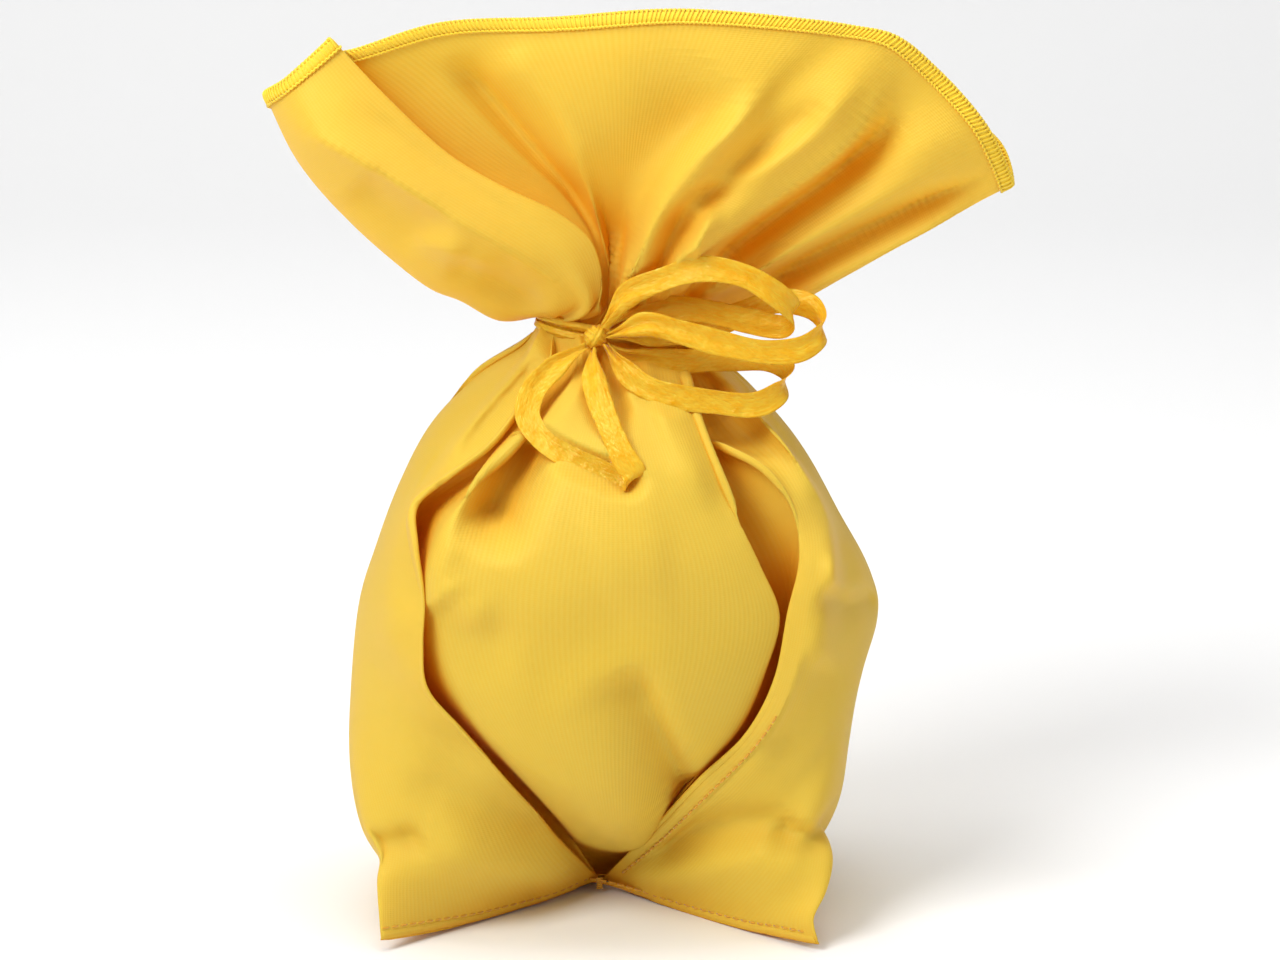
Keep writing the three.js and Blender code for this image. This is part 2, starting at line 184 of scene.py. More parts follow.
# mesh from a grid of points[around, along] in millimetres, with a cloth map in metres
def gridPiece(name, points, closed=True, widths=None, sealed=False):
    around, along = points.shape[:2]
    vertices = (points.reshape(-1, 3) * mm).tolist()
    columns = around if closed else around - 1
    faces = []
    for i in range(columns):
        j = (i + 1) % around
        for k in range(along - 1):
            faces.append((i * along + k, j * along + k, j * along + k + 1, i * along + k + 1))
    mesh = bpy.data.meshes.new(name)
    mesh.from_pydata(vertices, [], faces)
    following = np.roll(points, -1, 0) if closed else points[1:]
    stepAround = np.linalg.norm(following - (points if closed else points[:-1]), axis=2).mean(1)
    u = np.concatenate([[0], np.cumsum(stepAround)]) * mm
    stepAlong = np.linalg.norm(np.diff(points, axis=1), axis=2).mean(0)
    v = np.concatenate([[0], np.cumsum(stepAlong)]) * mm
    if widths is not None:
        u = widths
    uv = np.empty((columns, along - 1, 4, 2))
    uv[:, :, (0, 3), 0] = u[:columns, None, None]
    uv[:, :, (1, 2), 0] = u[1:columns + 1, None, None]
    uv[:, :, (0, 1), 1] = v[None, :-1, None]
    uv[:, :, (2, 3), 1] = v[None, 1:, None]
    mesh.uv_layers.new(name="clothMap").data.foreach_set("uv", uv.reshape(-1))
    mesh.polygons.foreach_set("use_smooth", [True] * len(mesh.polygons))
    if sealed:
        weld(mesh)
    mesh.update()
    piece = bpy.data.objects.new(name, mesh)
    bpy.context.scene.collection.objects.link(piece)
    return piece


# neck: where the cloth is gathered, as an ellipse on a slope
neck = {"halfWidth": 18.3, "halfDepth": 8.8, "slope": -0.13}


def neckPoint(degrees, height):
    a = math.radians(degrees)
    x = neckAt[0] + neck["halfWidth"] * math.cos(a)
    return np.array([x, neck["halfDepth"] * math.sin(a), height + neck["slope"] * (x - neckAt[0])])


tieBottom, tieTop = neckAt[2] - 0.6, neckAt[2] + 0.6

# ribbon: flat satin strips, the same routes as the frame's, in metres
ribbon = {"width": 0.006, "thickness": 0.00016, "pinchWidth": 0.0016, "pinchLength": 0.011, "across": 12,
          "step": 0.0006, "crinkle": 0.0004, "cup": 0.0005}
loopRoutes = {
    "ribbonLoopUpper": ("loop_upper", [
        (-0.0081, -0.0155, 0.1522), (-0.0035, -0.0175, 0.16), (0.005, -0.0195, 0.1646),
                                       (0.015, -0.022, 0.168),
        (0.025, -0.023, 0.1666), (0.033, -0.023, 0.1618), (0.0375, -0.0205, 0.1566), (0.035, -0.0173, 0.1528),
        (0.026, -0.0156, 0.154), (0.015, -0.0146, 0.1562), (0.005, -0.0139, 0.1563),
                                       (-0.0035, -0.0135, 0.154),
        (-0.00745, -0.0136, 0.1518)],
        [(0, 0.4, 0.9), (0.1, 0.3, 1), (0.2, 0.4, 1), (0, 0, 1)]),
    "ribbonLoopMiddle": ("loop_middle", [
        (-0.0074, -0.0162, 0.1502), (-0.003, -0.0188, 0.1524), (0.002, -0.021, 0.1542),
                                         (0.01, -0.0226, 0.1526),
        (0.02, -0.0236, 0.15), (0.0315, -0.0235, 0.1478), (0.04, -0.022, 0.1486), (0.0446, -0.0185, 0.1522),
        (0.042, -0.013, 0.1566), (0.034, -0.0108, 0.1576), (0.026, -0.011, 0.155), (0.017, -0.0116, 0.1514),
        (0.006, -0.0121, 0.1496), (-0.002, -0.0127, 0.1499), (-0.0068, -0.0133, 0.1498)],
        [(0, 0.2, 1), (0, 0.1, 1), (0, 0.1, 1)]),
    "ribbonLoopLower": ("loop_lower", [
        (-0.0081, -0.0164, 0.148), (-0.0052, -0.0192, 0.1444), (-0.001, -0.022, 0.1406),
                                       (0.005, -0.0238, 0.1378),
        (0.018, -0.024, 0.1356), (0.029, -0.0236, 0.135), (0.0348, -0.0215, 0.1384),
                                       (0.0356, -0.0185, 0.1424),
        (0.031, -0.0166, 0.1446), (0.02, -0.0152, 0.144), (0.008, -0.0146, 0.1434), (-0.002, -0.014, 0.1444),
        (-0.0079, -0.0132, 0.1471)],
        [(0.6, 0.2, 0.8), (0, 0.1, 1), (0, 0, 1)]),
    "ribbonTailLoop": ("tail_loop", [
        (-0.01275, -0.0165, 0.1479), (-0.0195, -0.0202, 0.144), (-0.0254, -0.0235, 0.1386),
        (-0.0269, -0.0272, 0.133), (-0.0235, -0.031, 0.1284), (-0.0165, -0.0344, 0.1246),
        (-0.009, -0.0372, 0.1216), (-0.0028, -0.0394, 0.1198), (-0.0012, -0.0408, 0.1216),
        (-0.0042, -0.039, 0.1264), (-0.0084, -0.033, 0.135), (-0.011, -0.0256, 0.1418),
        (-0.0114, -0.0204, 0.145), (-0.0111, -0.0167, 0.1471)],
        [(1, 0.3, 0.2), (0.8, 0.2, 0.4), (0.7, 0.1, 0.7), (1, 0.2, 0.3)]),
}


def ribbonLoop(name, route, widthWays, seed):
    draw = random.Random(seed)
    line = smoothLine(np.array(route) * 1000, 200) / 1000
    length = np.linalg.norm(np.diff(line, axis=0), axis=1).sum()
    count = round(length / ribbon["step"])
    line = smoothLine(np.array(route) * 1000, count) / 1000
    along = unit(np.gradient(line, axis=0))
    ways = smoothLine(np.array(widthWays, float), count)
    side = unit(ways - along * (ways * along).sum(1, keepdims=True))
    face = np.cross(along, side)
    run = np.linspace(0, length, count)
    nearEnd = np.minimum(run, length - run)
    half = (ribbon["pinchWidth"] + (ribbon["width"] - ribbon["pinchWidth"])
            * easeInOut(nearEnd / ribbon["pinchLength"])) / 2
    bunched = 1 - easeInOut(nearEnd / (2.2 * ribbon["pinchLength"]))
    waves = [(draw.uniform(2.5, 6.5), draw.uniform(0, 6.3), draw.uniform(60, 260), draw.uniform(0, 6.3))
             for _ in range(5)]
    rows = []
    for k in range(ribbon["across"] + 1):
        s = 2 * k / ribbon["across"] - 1
        lift = ribbon["cup"] * (s * s - 0.4) * (1 - bunched)
        for n, (perWidth, phase, perMetre, shift) in enumerate(waves):
            swing = np.sin(perWidth * s + phase + 0.9 * np.sin(perMetre * run + shift))
            lift = lift + ribbon["crinkle"] * (0.28 + 1.9 * bunched) * swing / (1 + 0.5 * n)
        waver = 1 + 0.05 * np.sin(run * 310 + seed) * (1 - bunched)
        rows.append(line + side * (half * s * waver)[:, None] + face * lift[:, None])
    points = np.array(rows) / mm
    widths = np.linspace(0, ribbon["width"], ribbon["across"] + 1)
    piece = gridPiece(name, points, closed=False, widths=widths)
    solid = piece.modifiers.new("thickness", "SOLIDIFY")
    solid.thickness = ribbon["thickness"]
    solid.offset = 0
    return piece, line, length


ribbonPieces, ribbonLines = [], []
for order, (name, (node, route, ways)) in enumerate(loopRoutes.items()):
    piece, line, length = ribbonLoop(name, route, ways, 11 + order)
    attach(piece, "tail_loop" if node == "tail_loop" else "bow_loops")
    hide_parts(node)
    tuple(route[0])
    ribbonPieces.append(piece)
    ribbonLines.append(line)
    print("ribbon", name, "length", round(float(length), 4))


# closed tube along a ring of points, its section a list of radii round it
def ringTube(name, centres, radii, sides=16):
    centres = np.asarray(centres, float)
    along = unit(np.roll(centres, -1, 0) - np.roll(centres, 1, 0))
    reference = unit(centres - centres.mean(0))
    out = unit(reference - along * (reference * along).sum(1, keepdims=True))
    up = np.cross(along, out)
    turn = np.linspace(0, 2 * math.pi, sides, endpoint=False)
    rows = np.array([centres + out * (radii[:, k, 0] * math.cos(a))[:, None]
                     + up * (radii[:, k, 1] * math.sin(a))[:, None] for k, a in enumerate(turn)])
    rows = np.concatenate([rows, rows[:, :1]], axis=1)
    return gridPiece(name, rows, sealed=True)


# the two bunched turns round the neck
neckTurns = {"height": 1.05, "depth": 0.75, "steps": 220, "sides": 20}


def neckTurn(name, node, phase):
    low, high = boxOf(node)
    middle = (low + high) / 2
    turn = np.linspace(0, 2 * math.pi, neckTurns["steps"], endpoint=False)
    halfX, halfY = (high[0] - low[0]) / 2 - neckTurns["depth"], (high[1] - low[1]) / 2 - neckTurns["depth"]
    x = middle[0] + halfX * np.cos(turn)
    y = middle[1] + halfY * np.sin(turn)
    z = middle[2] + neck["slope"] * (x - middle[0]) + 0.35 * np.sin(2 * turn + phase)
    centres = np.stack([x, y, z], axis=1)
    around = np.linspace(0, 2 * math.pi, neckTurns["sides"], endpoint=False)
    crease = 1 + 0.16 * np.sin(5 * around[None] + 1.2 * np.sin(3 * turn[:, None] + phase)) \
        + 0.06 * np.sin(9 * around[None] - 2 * turn[:, None])
    radii = np.stack([neckTurns["depth"] * crease, neckTurns["height"] * crease], axis=2)
    piece = ringTube(name, centres, radii, neckTurns["sides"])
    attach(piece, "sack")
    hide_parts(node)
    ribbonPieces.append(piece)
    return piece


neckTurn("ribbonTurnUpper", "neck_turn_upper", 0.4)
neckTurn("ribbonTurnLower", "neck_turn_lower", 2.9)


# knot: a creased ball with one ribbon end wrapped over it
knotShape = {"rings": 44, "sides": 56, "crease": 0.07}


def knotPiece():
    half = (knotHigh - knotLow) / 2
    polar = np.linspace(0.02, math.pi - 0.02, knotShape["rings"])
    turn = np.linspace(0, 2 * math.pi, knotShape["sides"], endpoint=False)
    rows = []
    for a in turn:
        direction = np.stack([np.sin(polar) * math.cos(a), np.sin(polar) * math.sin(a), np.cos(polar)],
                             axis=1)
        slant = direction @ np.array([0.5, 0.1, 0.86])
        crossed = direction @ np.array([0.83, 0.0, -0.55])
        wrap = easeInOut((0.42 - np.abs(crossed)) / 0.16)
        size = 0.84 + 0.16 * wrap
        size = size + knotShape["crease"] * (wrap * np.sin(17 * crossed + 1.5 * slant)
                                             + (1 - wrap) * np.sin(13 * slant + 2 * crossed))
        rows.append(knotAt + direction * half * size[:, None])
    piece = gridPiece("ribbonKnot", np.array(rows), sealed=True)
    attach(piece, "sack")
    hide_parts("knot")
    ribbonPieces.append(piece)


knotPiece()
print("ribbon tied")


# puts a close second line just behind a fold's edge, after it (1) or before it (0), so that the fold stays
# thin
def withFoldBacks(guides, folds, behind=1.9):
    out = {}
    for name, (degrees, points) in guides.items():
        after, aside = folds.get(name, (None, 0))
        last = len(points) - 1
        close = [(x + aside * fade, up, y + behind * fade)
                 for (x, up, y), fade in zip(points, (min(1, k,
                                                          (last - k + 0.3) / 1.3) for k in range(last + 1)))]
        if after == 0:
            out[name + "Back"] = (degrees - 1, close)
        out[name] = (degrees, points)
        if after == 1:
            out[name + "Back"] = (degrees + 1, close)
    return out


# pouch: guide lines from the bottom seam up to the tie, going round from the left side over the front
def pouchGuides():
    apex = (-10, 17, 3)
    front = {
        "leftSide": (180, [(-64.5, 1.5, -42), (-65, 17, -37), (-64, 23, -34), (-68.5, 32, -28),
                           (-71.5, 47, -19),
                           (-72, 62, -12), (-70, 87, -4), (-66, 100.5, 0), (-60, 117, 0), (-52, 132, 0),
                           (-40, 144, 0), (-29, 151, 0)]),
        "leftFlap": (198, [(-37, 7.5, -19.5), (-42, 20, -31), (-50, 38, -37), (-60, 56, -34),
                           (-63.5, 75, -31),
                           (-62.5, 92, -29), (-59, 108, -26), (-50, 124, -22), (-38, 137, -17),
                           (-27, 148, -10)]),
        "leftLip": (212, [apex, (-22, 29.5, -18), (-35, 44, -35), (-45, 55, -41), (-53, 64.5, -43),
                          (-54, 75, -43),
                          (-53.5, 87, -41), (-55.5, 100, -38), (-56, 110, -33), (-47, 117.5, -32),
                          (-37, 124.5, -29), (-27, 137, -21), (-21, 147, -13)]),
        "leftUnder": (219, [apex, (-25, 31, -4), (-40, 46, -17), (-50, 57, -22), (-58, 67, -23),
                            (-59, 77, -22),
                            (-59, 88, -20), (-58.5, 99, -20), (-57, 108.5, -22), (-47.5, 116.5, -25),
                            (-37, 123, -27), (-26, 136, -20), (-20, 146, -12)]),
        "leftValley": (226, [apex, (-20, 31, -4), (-36, 47, -19), (-49, 59, -24), (-56, 69, -26),
                             (-57.5, 79, -26),
                             (-57.5, 91, -25), (-56, 101, -25), (-52, 109, -26), (-44, 115, -27),
                             (-34, 122, -28), (-24, 135, -22), (-17.5, 146, -13.5)]),
        "bulgeLeft": (240, [apex, (-12, 20, 6), (-15.5, 25.5, 1), (-17, 29, -16), (-31, 46, -38),
                            (-43.5, 62, -42), (-50, 79, -43),
                            (-50.5, 94, -42), (-45, 108, -39), (-35, 122, -35), (-22, 134, -28),
                            (-14.5, 146, -16)]),
        "bulgeMiddle": (262, [(-9, 17, 4), (-8, 19, 9), (-7, 22.5, 7), (-6, 24.8, -12), (-8, 33, -34),
                              (-10, 48, -46),
                              (-11, 66, -52), (-11, 84, -54), (-10, 102, -51), (-9, 118, -43), (-8, 132, -31),
                              (-7.5, 145, -18)]),
        "bulgeRight": (290, [(-8, 17, 4), (-5, 20, 8), (-1, 23.5, 4), (2, 26.5, -16), (9, 42, -35),
                             (15, 58, -44), (20, 74, -48),
                             (20, 92, -48), (15, 108, -44), (9, 121, -38), (4, 134, -28), (1, 146, -17)]),
        "bulgeEdge": (312, [(-8.5, 17, 3), (-3, 22, 4), (0.5, 26, -4), (7, 33.5, -18), (17, 45, -29),
                            (26, 55.5, -35), (32, 69, -39),
                            (35.5, 83, -41.5), (31, 95, -42), (25, 108, -40), (19.5, 121, -35),
                            (15, 133, -26), (11, 145, -15)]),
        "edgeUnder": (318, [(-8.5, 17, 3), (2, 25, 2), (13, 33, -2), (23, 43, -7), (31, 52.5, -13),
                            (36, 66, -18),
                            (32.5, 83, -27), (28, 95, -29), (21, 108, -27), (16, 121, -28), (13, 133, -22),
                            (10.5, 145, -13)]),
        "pocket": (324, [(-8.7, 17, 3), (4, 27.5, 0), (16, 38, -8), (27, 49, -14), (34.5, 60, -18),
                         (38.5, 72, -19),
                         (38.5, 84, -25), (36.5, 97, -29), (30.5, 109, -29), (22, 119, -25), (15.5, 132, -17),
                         (12, 145, -13)]),
        "rightLip": (330, [(-9, 17, 3), (3, 29.5, -17), (15, 42.5, -31), (26.5, 53.5, -38), (33.5, 67, -41),
                           (36.8, 84, -41), (39.5, 97, -39), (37.8, 109, -36), (31, 119, -33),
                           (21, 124.5, -28), (15, 127, -20), (13, 137, -11), (11, 146, -8)]),
        "rightGap": (334, [(-7.5, 16.5, 2), (3.2, 26, -14), (15.5, 38, -29), (26.8, 49, -37), (35, 61, -41.5),
                           (39, 74, -42.5), (41, 88, -42), (43, 98, -40), (41.5, 109, -35), (35, 120, -27),
                           (26, 128, -15), (19, 136, -9), (13, 146.5, -6)]),
        "rightRoll": (339, [(-5, 15.5, 0), (3.5, 21.5, -11), (16, 32, -26), (27, 43.5, -36), (36, 54, -41),
                            (41, 66, -43), (44.5, 79, -43), (47.5, 92, -41), (47, 105, -36), (39.5, 121, -29),
                            (27, 135, -20), (18.5, 143, -13), (14, 148, -8)]),
        "rightValley": (346, [(10, 9.5, -13.5), (22, 22, -27), (35, 37, -34), (45, 52, -34), (50.5, 68, -31),
                              (52.5, 84, -28), (51, 97, -24), (48.5, 108, -20), (41, 121, -15),
                              (28, 136, -11), (19, 144.5, -7), (14.5, 148.5, -5)]),
        "rightFlap": (353, [(27, 4.5, -28), (38, 18, -36), (44, 34, -35), (50, 52, -28), (55, 68, -21),
                            (57.5, 82, -16), (56, 95, -13), (50, 107, -10), (43, 120, -9), (31, 134.5, -6),
                            (20.5, 144, -4), (15, 149, -2)]),
        "rightSide": (360, [(45, 0.5, -42), (43.5, 7, -41), (46.5, 14, -38), (48, 23, -33), (45, 30.5, -28),
                            (50, 39, -21), (52.5, 52, -13), (55.5, 69, -7), (60, 84, -2), (58, 94, 0),
                            (50, 109, 1), (38, 129, 1), (25, 143, 0), (16, 150, 0)]),
    }
    back = {
        "rightBack": (40, [(27, -28.4, 1), (31, -12, 0.6), (38, 10, 1.2), (44, 24, 10), (47, 30, 26),
                           (47, 32, 50),
                           (47, 31, 78), (42, 27, 100), (31, 21, 120), (19, 14, 134), (12, 8, 142)]),
        "backRight": (66, [(9, -13, 2.6), (10, 2, 0.6), (14, 24, 0.8), (18, 36, 8), (20, 41, 25),
                           (21, 42, 50),
                           (20, 40, 76), (17, 35, 99), (12, 27, 119), (6, 18, 134), (3, 11, 142)]),
        "backMiddle": (90, [(-10, 3, 3.4), (-10, 10, 0.8), (-9, 27, 0.6), (-9, 39, 8), (-9, 43, 25),
                            (-9, 43.5, 50),
                            (-9, 42, 76), (-8, 37, 99), (-7, 29, 119), (-6, 19, 134), (-6, 12, 142)]),
        "backLeft": (114, [(-28, -12, 2.4), (-30, 2, 0.6), (-33, 24, 0.8), (-37, 35, 8), (-38, 40, 25),
                           (-38, 41, 50),
                           (-36, 39, 76), (-32, 34, 99), (-25, 26, 119), (-18, 17, 134), (-14, 11, 142)]),
        "leftBack": (140, [(-46, -27, 1), (-50, -10, 0.6), (-56, 8, 1.2), (-61, 20, 10), (-63, 26, 26),
                           (-63, 28, 50), (-61, 27, 78), (-55, 24, 100), (-43, 18, 120), (-29, 13, 134),
                           (-20, 8, 142)]),
    }
    front = withFoldBacks(front, {"leftLip": (1, -0.9), "bulgeEdge": (1, -0.7), "rightLip": (0, 0.9)})
    guides = [[seen(*p) for p in points] + [neckPoint(a, tieBottom)] for a, points in front.values()]
    guides += [[np.array(p, float) for p in points] + [neckPoint(a, tieBottom)]
               for a, points in back.values()]
    return guides, list(front) + list(back)


# collar: guide lines from the tie up to the rim, going round the same way
def collarGuides():
    front = {
        "leftFold": (180, [(-35, 157, 0), (-45, 161.5, -1), (-52, 164, -2), (-61, 170.5, -3),
                           (-73.5, 182, -4), (-85, 196, -5), (-93.5, 213, -6)]),
        "lobeBand": (203, [(-17, 160, -13), (-26, 169, -18), (-46, 182, -23), (-68, 196.5, -25),
                           (-80, 205, -23), (-88, 217, -16)]),
        "lobeFold": (232, [(-9.5, 160, -12), (-8.5, 168, -13.5), (-11.5, 177, -14.5), (-20, 184, -15),
                           (-34, 190.5, -15.5), (-47, 198, -16), (-62, 211.5, -16), (-77, 227, -15)]),
        "lobeUnder": (238, [(-10.5, 160, -9.5), (-11.5, 168, -10), (-16, 175, -10), (-24, 181, -10),
                            (-37, 187, -10), (-50, 194.5, -10), (-65, 208, -10.5), (-79, 223.5, -11)]),
        "lobeValley": (244, [(-8.5, 161, -8), (-9.5, 170, -7.5), (-13, 180, -6.5), (-22, 188, -6),
                             (-35, 195, -6), (-48, 204, -7), (-61, 215, -9), (-73.5, 223.5, -12)]),
        "crownLeft": (252, [(-7.5, 162, -7.5), (-9.5, 175, -6), (-16, 188, -5), (-26, 202, -7),
                            (-37, 217, -10), (-50, 230.5, -13)]),
        "crownMiddle": (260, [(-7, 162, -7.5), (-7.5, 176, -8.5), (-9.5, 193, -14), (-13, 210, -17.5),
                              (-17, 222, -17), (-21, 232, -14)]),
        "crown": (270, [(-5, 162, -9), (-2.5, 176, -13), (0.5, 193, -18), (4, 210, -20), (7, 223, -17.5),
                        (10, 234, -14)]),
        "ridgeOne": (282, [(-3.5, 162, -13.5), (0.5, 174, -17.5), (8, 187, -20.5), (18, 200, -20.5),
                           (30, 216, -18), (42, 231.5, -14)]),
        "hollow": (291, [(0, 162, -12), (6.5, 175, -14), (15, 187.5, -15.5), (26, 201, -16), (39, 216.5, -15),
                         (53, 230, -13)]),
        "ridgeTwo": (300, [(4, 162, -13.5), (11.5, 174.5, -17.5), (22, 187, -19), (36, 200, -19),
                           (50, 214, -17), (64, 227.5, -13)]),
        "darkValley": (314, [(9.5, 162, -8), (20, 173, -9), (35, 185.5, -9), (50, 197, -9.5), (63, 208, -10),
                             (75, 218.5, -11)]),
        "ridgeThree": (328, [(14, 161, -11), (29, 171.5, -14.5), (44, 182, -15.5), (58, 191, -15),
                             (72, 199.5, -14), (86, 206, -11)]),
        "crease": (344, [(17.5, 158, -5), (30, 165, -6), (45, 172, -6.5), (61, 179.5, -7), (76, 187.5, -7.5),
                         (91, 196.5, -8)]),
        "rightFold": (360, [(20, 154.8, 0), (38, 160.5, -1), (52, 168, -2), (65, 175.5, -3),
                            (80, 183.5, -3.5), (93.3, 190.5, -4)]),
    }
    back = {
        "rightBack": (28, [(20, 6, 154), (38, 8, 165), (58, 10, 177), (76, 11, 188), (88, 9, 194)]),
        "backRight": (58, [(8, 9, 158), (20, 13, 174), (33, 17, 190), (46, 20, 205), (54, 20, 213)]),
        "backMiddle": (90, [(-5, 11, 160), (-3, 15, 176), (0, 20, 193), (3, 24, 209), (5, 25, 218)]),
        "backLeft": (122, [(-16, 9, 160), (-25, 13, 175), (-34, 17, 190), (-43, 20, 205), (-49, 20, 214)]),
        "leftBack": (152, [(-24, 5, 158), (-40, 7, 171), (-57, 8, 185), (-71, 8, 197), (-80, 5, 206)]),
    }
    front = withFoldBacks(front, {"lobeFold": (1, -0.7)})
    guides = [[neckPoint(a, tieTop)] + [seen(*p) for p in points] for a, points in front.values()]
    guides += [[neckPoint(a, tieTop)] + [np.array(p, float) for p in points] for a, points in back.values()]
    return guides, list(front) + list(back)


# where places lie on the board
def onBoard(points):
    ray = points - eye
    place = eye + ray * (cameraSetup["distance"] / (ray @ forward))[..., None]
    offset = place - lookAt
    return np.stack([lookAt[0] + offset[..., 0], boardBase + offset @ boardUp], axis=-1)


# pushes the cloth back (or forward, when negative) along a stroke on the board; the push fades at both ends,
# and falls off over one width on the stroke's left and another on its right: 1 makes a sharp crease, 2 a
# soft one
def pressed(points, owner, names, strokes):
    points = points.copy()
    flat = onBoard(points)
    for first, last, push, leftWidth, rightWidth, sharpness, route in strokes:
        chosen = (owner >= names.index(first) - 0.5) & (owner <= names.index(last) + 0.5)
        line = smoothLine([(x, y, 0) for x, y in route], 40)[:, :2]
        way = unit(np.gradient(line, axis=0))
        offset = flat[chosen][:, :, None] - line[None, None]
        distance = np.linalg.norm(offset, axis=3)
        nearest = distance.argmin(2)
        distance = distance.min(2)
        gap = np.take_along_axis(offset, nearest[:, :, None, None], axis=2)[:, :, 0]
        side = way[nearest, 0] * gap[..., 1] - way[nearest, 1] * gap[..., 0]
        width = np.where(side > 0, leftWidth, rightWidth)
        share = nearest / (len(line) - 1)
        fade = easeInOut(share / 0.2) * easeInOut((1 - share) / 0.3)
        edge = easeInOut((owner[chosen] - names.index(first) + 0.5) / 0.4) \
            * easeInOut((names.index(last) + 0.5 - owner[chosen]) / 0.4)
        amount = push * np.exp(-(distance / width) ** sharpness) * fade * edge[:, None]
        points[chosen] = points[chosen] + amount[..., None] * np.array([0, 1.0, 0])
    return points


pouchStrokes = [
    ("bulgeLeft", "bulgeMiddle", 18, 5.5, 8, 2.2, [(-26, 128), (-28, 123), (-31, 115), (-35.5, 105),
                                                   (-40, 96)]),
    ("leftValley", "bulgeLeft", -3.5, 4, 4, 2, [(-40, 122), (-47, 105), (-52, 82)]),
    ("bulgeLeft", "bulgeMiddle", 4, 6, 8, 2, [(-52, 88), (-42, 76), (-27, 75)]),
    ("leftUnder", "bulgeMiddle", -3, 5, 6, 2, [(-50, 92), (-44, 84), (-36, 82)]),
    ("bulgeMiddle", "bulgeEdge", 9, 3.5, 9, 1.6, [(-4, 70), (4, 54), (11, 40), (18, 34)]),
    ("bulgeLeft", "bulgeRight", 6, 4, 4, 2, [(-13, 149), (-8, 140), (-6, 127)]),
    ("bulgeMiddle", "bulgeEdge", -3.4, 3, 5, 1.5, [(1, 151), (7, 138), (13, 124), (19, 108)]),
    ("bulgeMiddle", "bulgeEdge", 2.6, 4, 4, 1.6, [(7, 150), (14, 134), (20, 118), (26, 100)]),
    ("bulgeMiddle", "bulgeRight", -2, 14, 14, 2, [(-12, 92), (-2, 96), (10, 98)]),
    ("bulgeLeft", "bulgeRight", 2.2, 9, 9, 2, [(-32, 66), (-14, 74), (6, 86)]),
    ("leftSide", "leftLip", 6.5, 2, 4.5, 1.3, [(-23, 154), (-38, 138), (-50, 123), (-60, 106)]),
    ("leftSide", "leftLip", -4.5, 3, 3, 1.6, [(-27, 149), (-42, 132), (-54, 116)]),
    ("leftSide", "leftLip", 4.5, 2.5, 2.5, 1.4, [(-24, 148), (-36, 134), (-46, 121)]),
    ("leftSide", "leftLip", 3, 8, 9, 2, [(-68, 78), (-56, 58), (-36, 36)]),
    ("leftSide", "leftLip", 3.4, 4, 4, 2, [(-70, 25), (-62, 25), (-52, 28)]),
    ("leftSide", "leftLip", -3, 6, 6, 2, [(-14, 17), (-34, 22), (-58, 25)]),
    ("leftSide", "leftLip", 3, 5, 5, 2, [(-20, 29), (-38, 34), (-62, 42)]),
    ("leftSide", "leftLip", -2.5, 5, 5, 1.7, [(-60, 92), (-61, 76), (-56, 62), (-44, 50)]),
    ("rightLip", "rightSide", 6.5, 3, 4, 1.3, [(14, 150), (29, 133), (44, 112), (53, 94)]),
    ("rightLip", "rightSide", -4, 3, 4, 1.6, [(24, 140), (36, 124), (47, 104)]),
    ("rightRoll", "rightSide", 5, 4, 4, 1.6, [(61, 87), (52, 84), (45, 90)]),
    ("rightRoll", "rightSide", -3, 4, 5, 2, [(60, 96), (52, 92), (46, 99)]),
    ("rightRoll", "rightSide", -3, 4, 6, 1.8, [(-5, 17), (15, 21), (40, 26)]),
    ("rightRoll", "rightSide", 4.4, 5, 5, 2, [(0, 24), (22, 30), (44, 30)]),
    ("rightRoll", "rightSide", 5, 4, 4, 2, [(50, 28), (42, 26), (32, 29)]),
    ("rightRoll", "rightSide", 3, 5, 8, 2, [(46, 74), (40, 58), (30, 44)]),
]

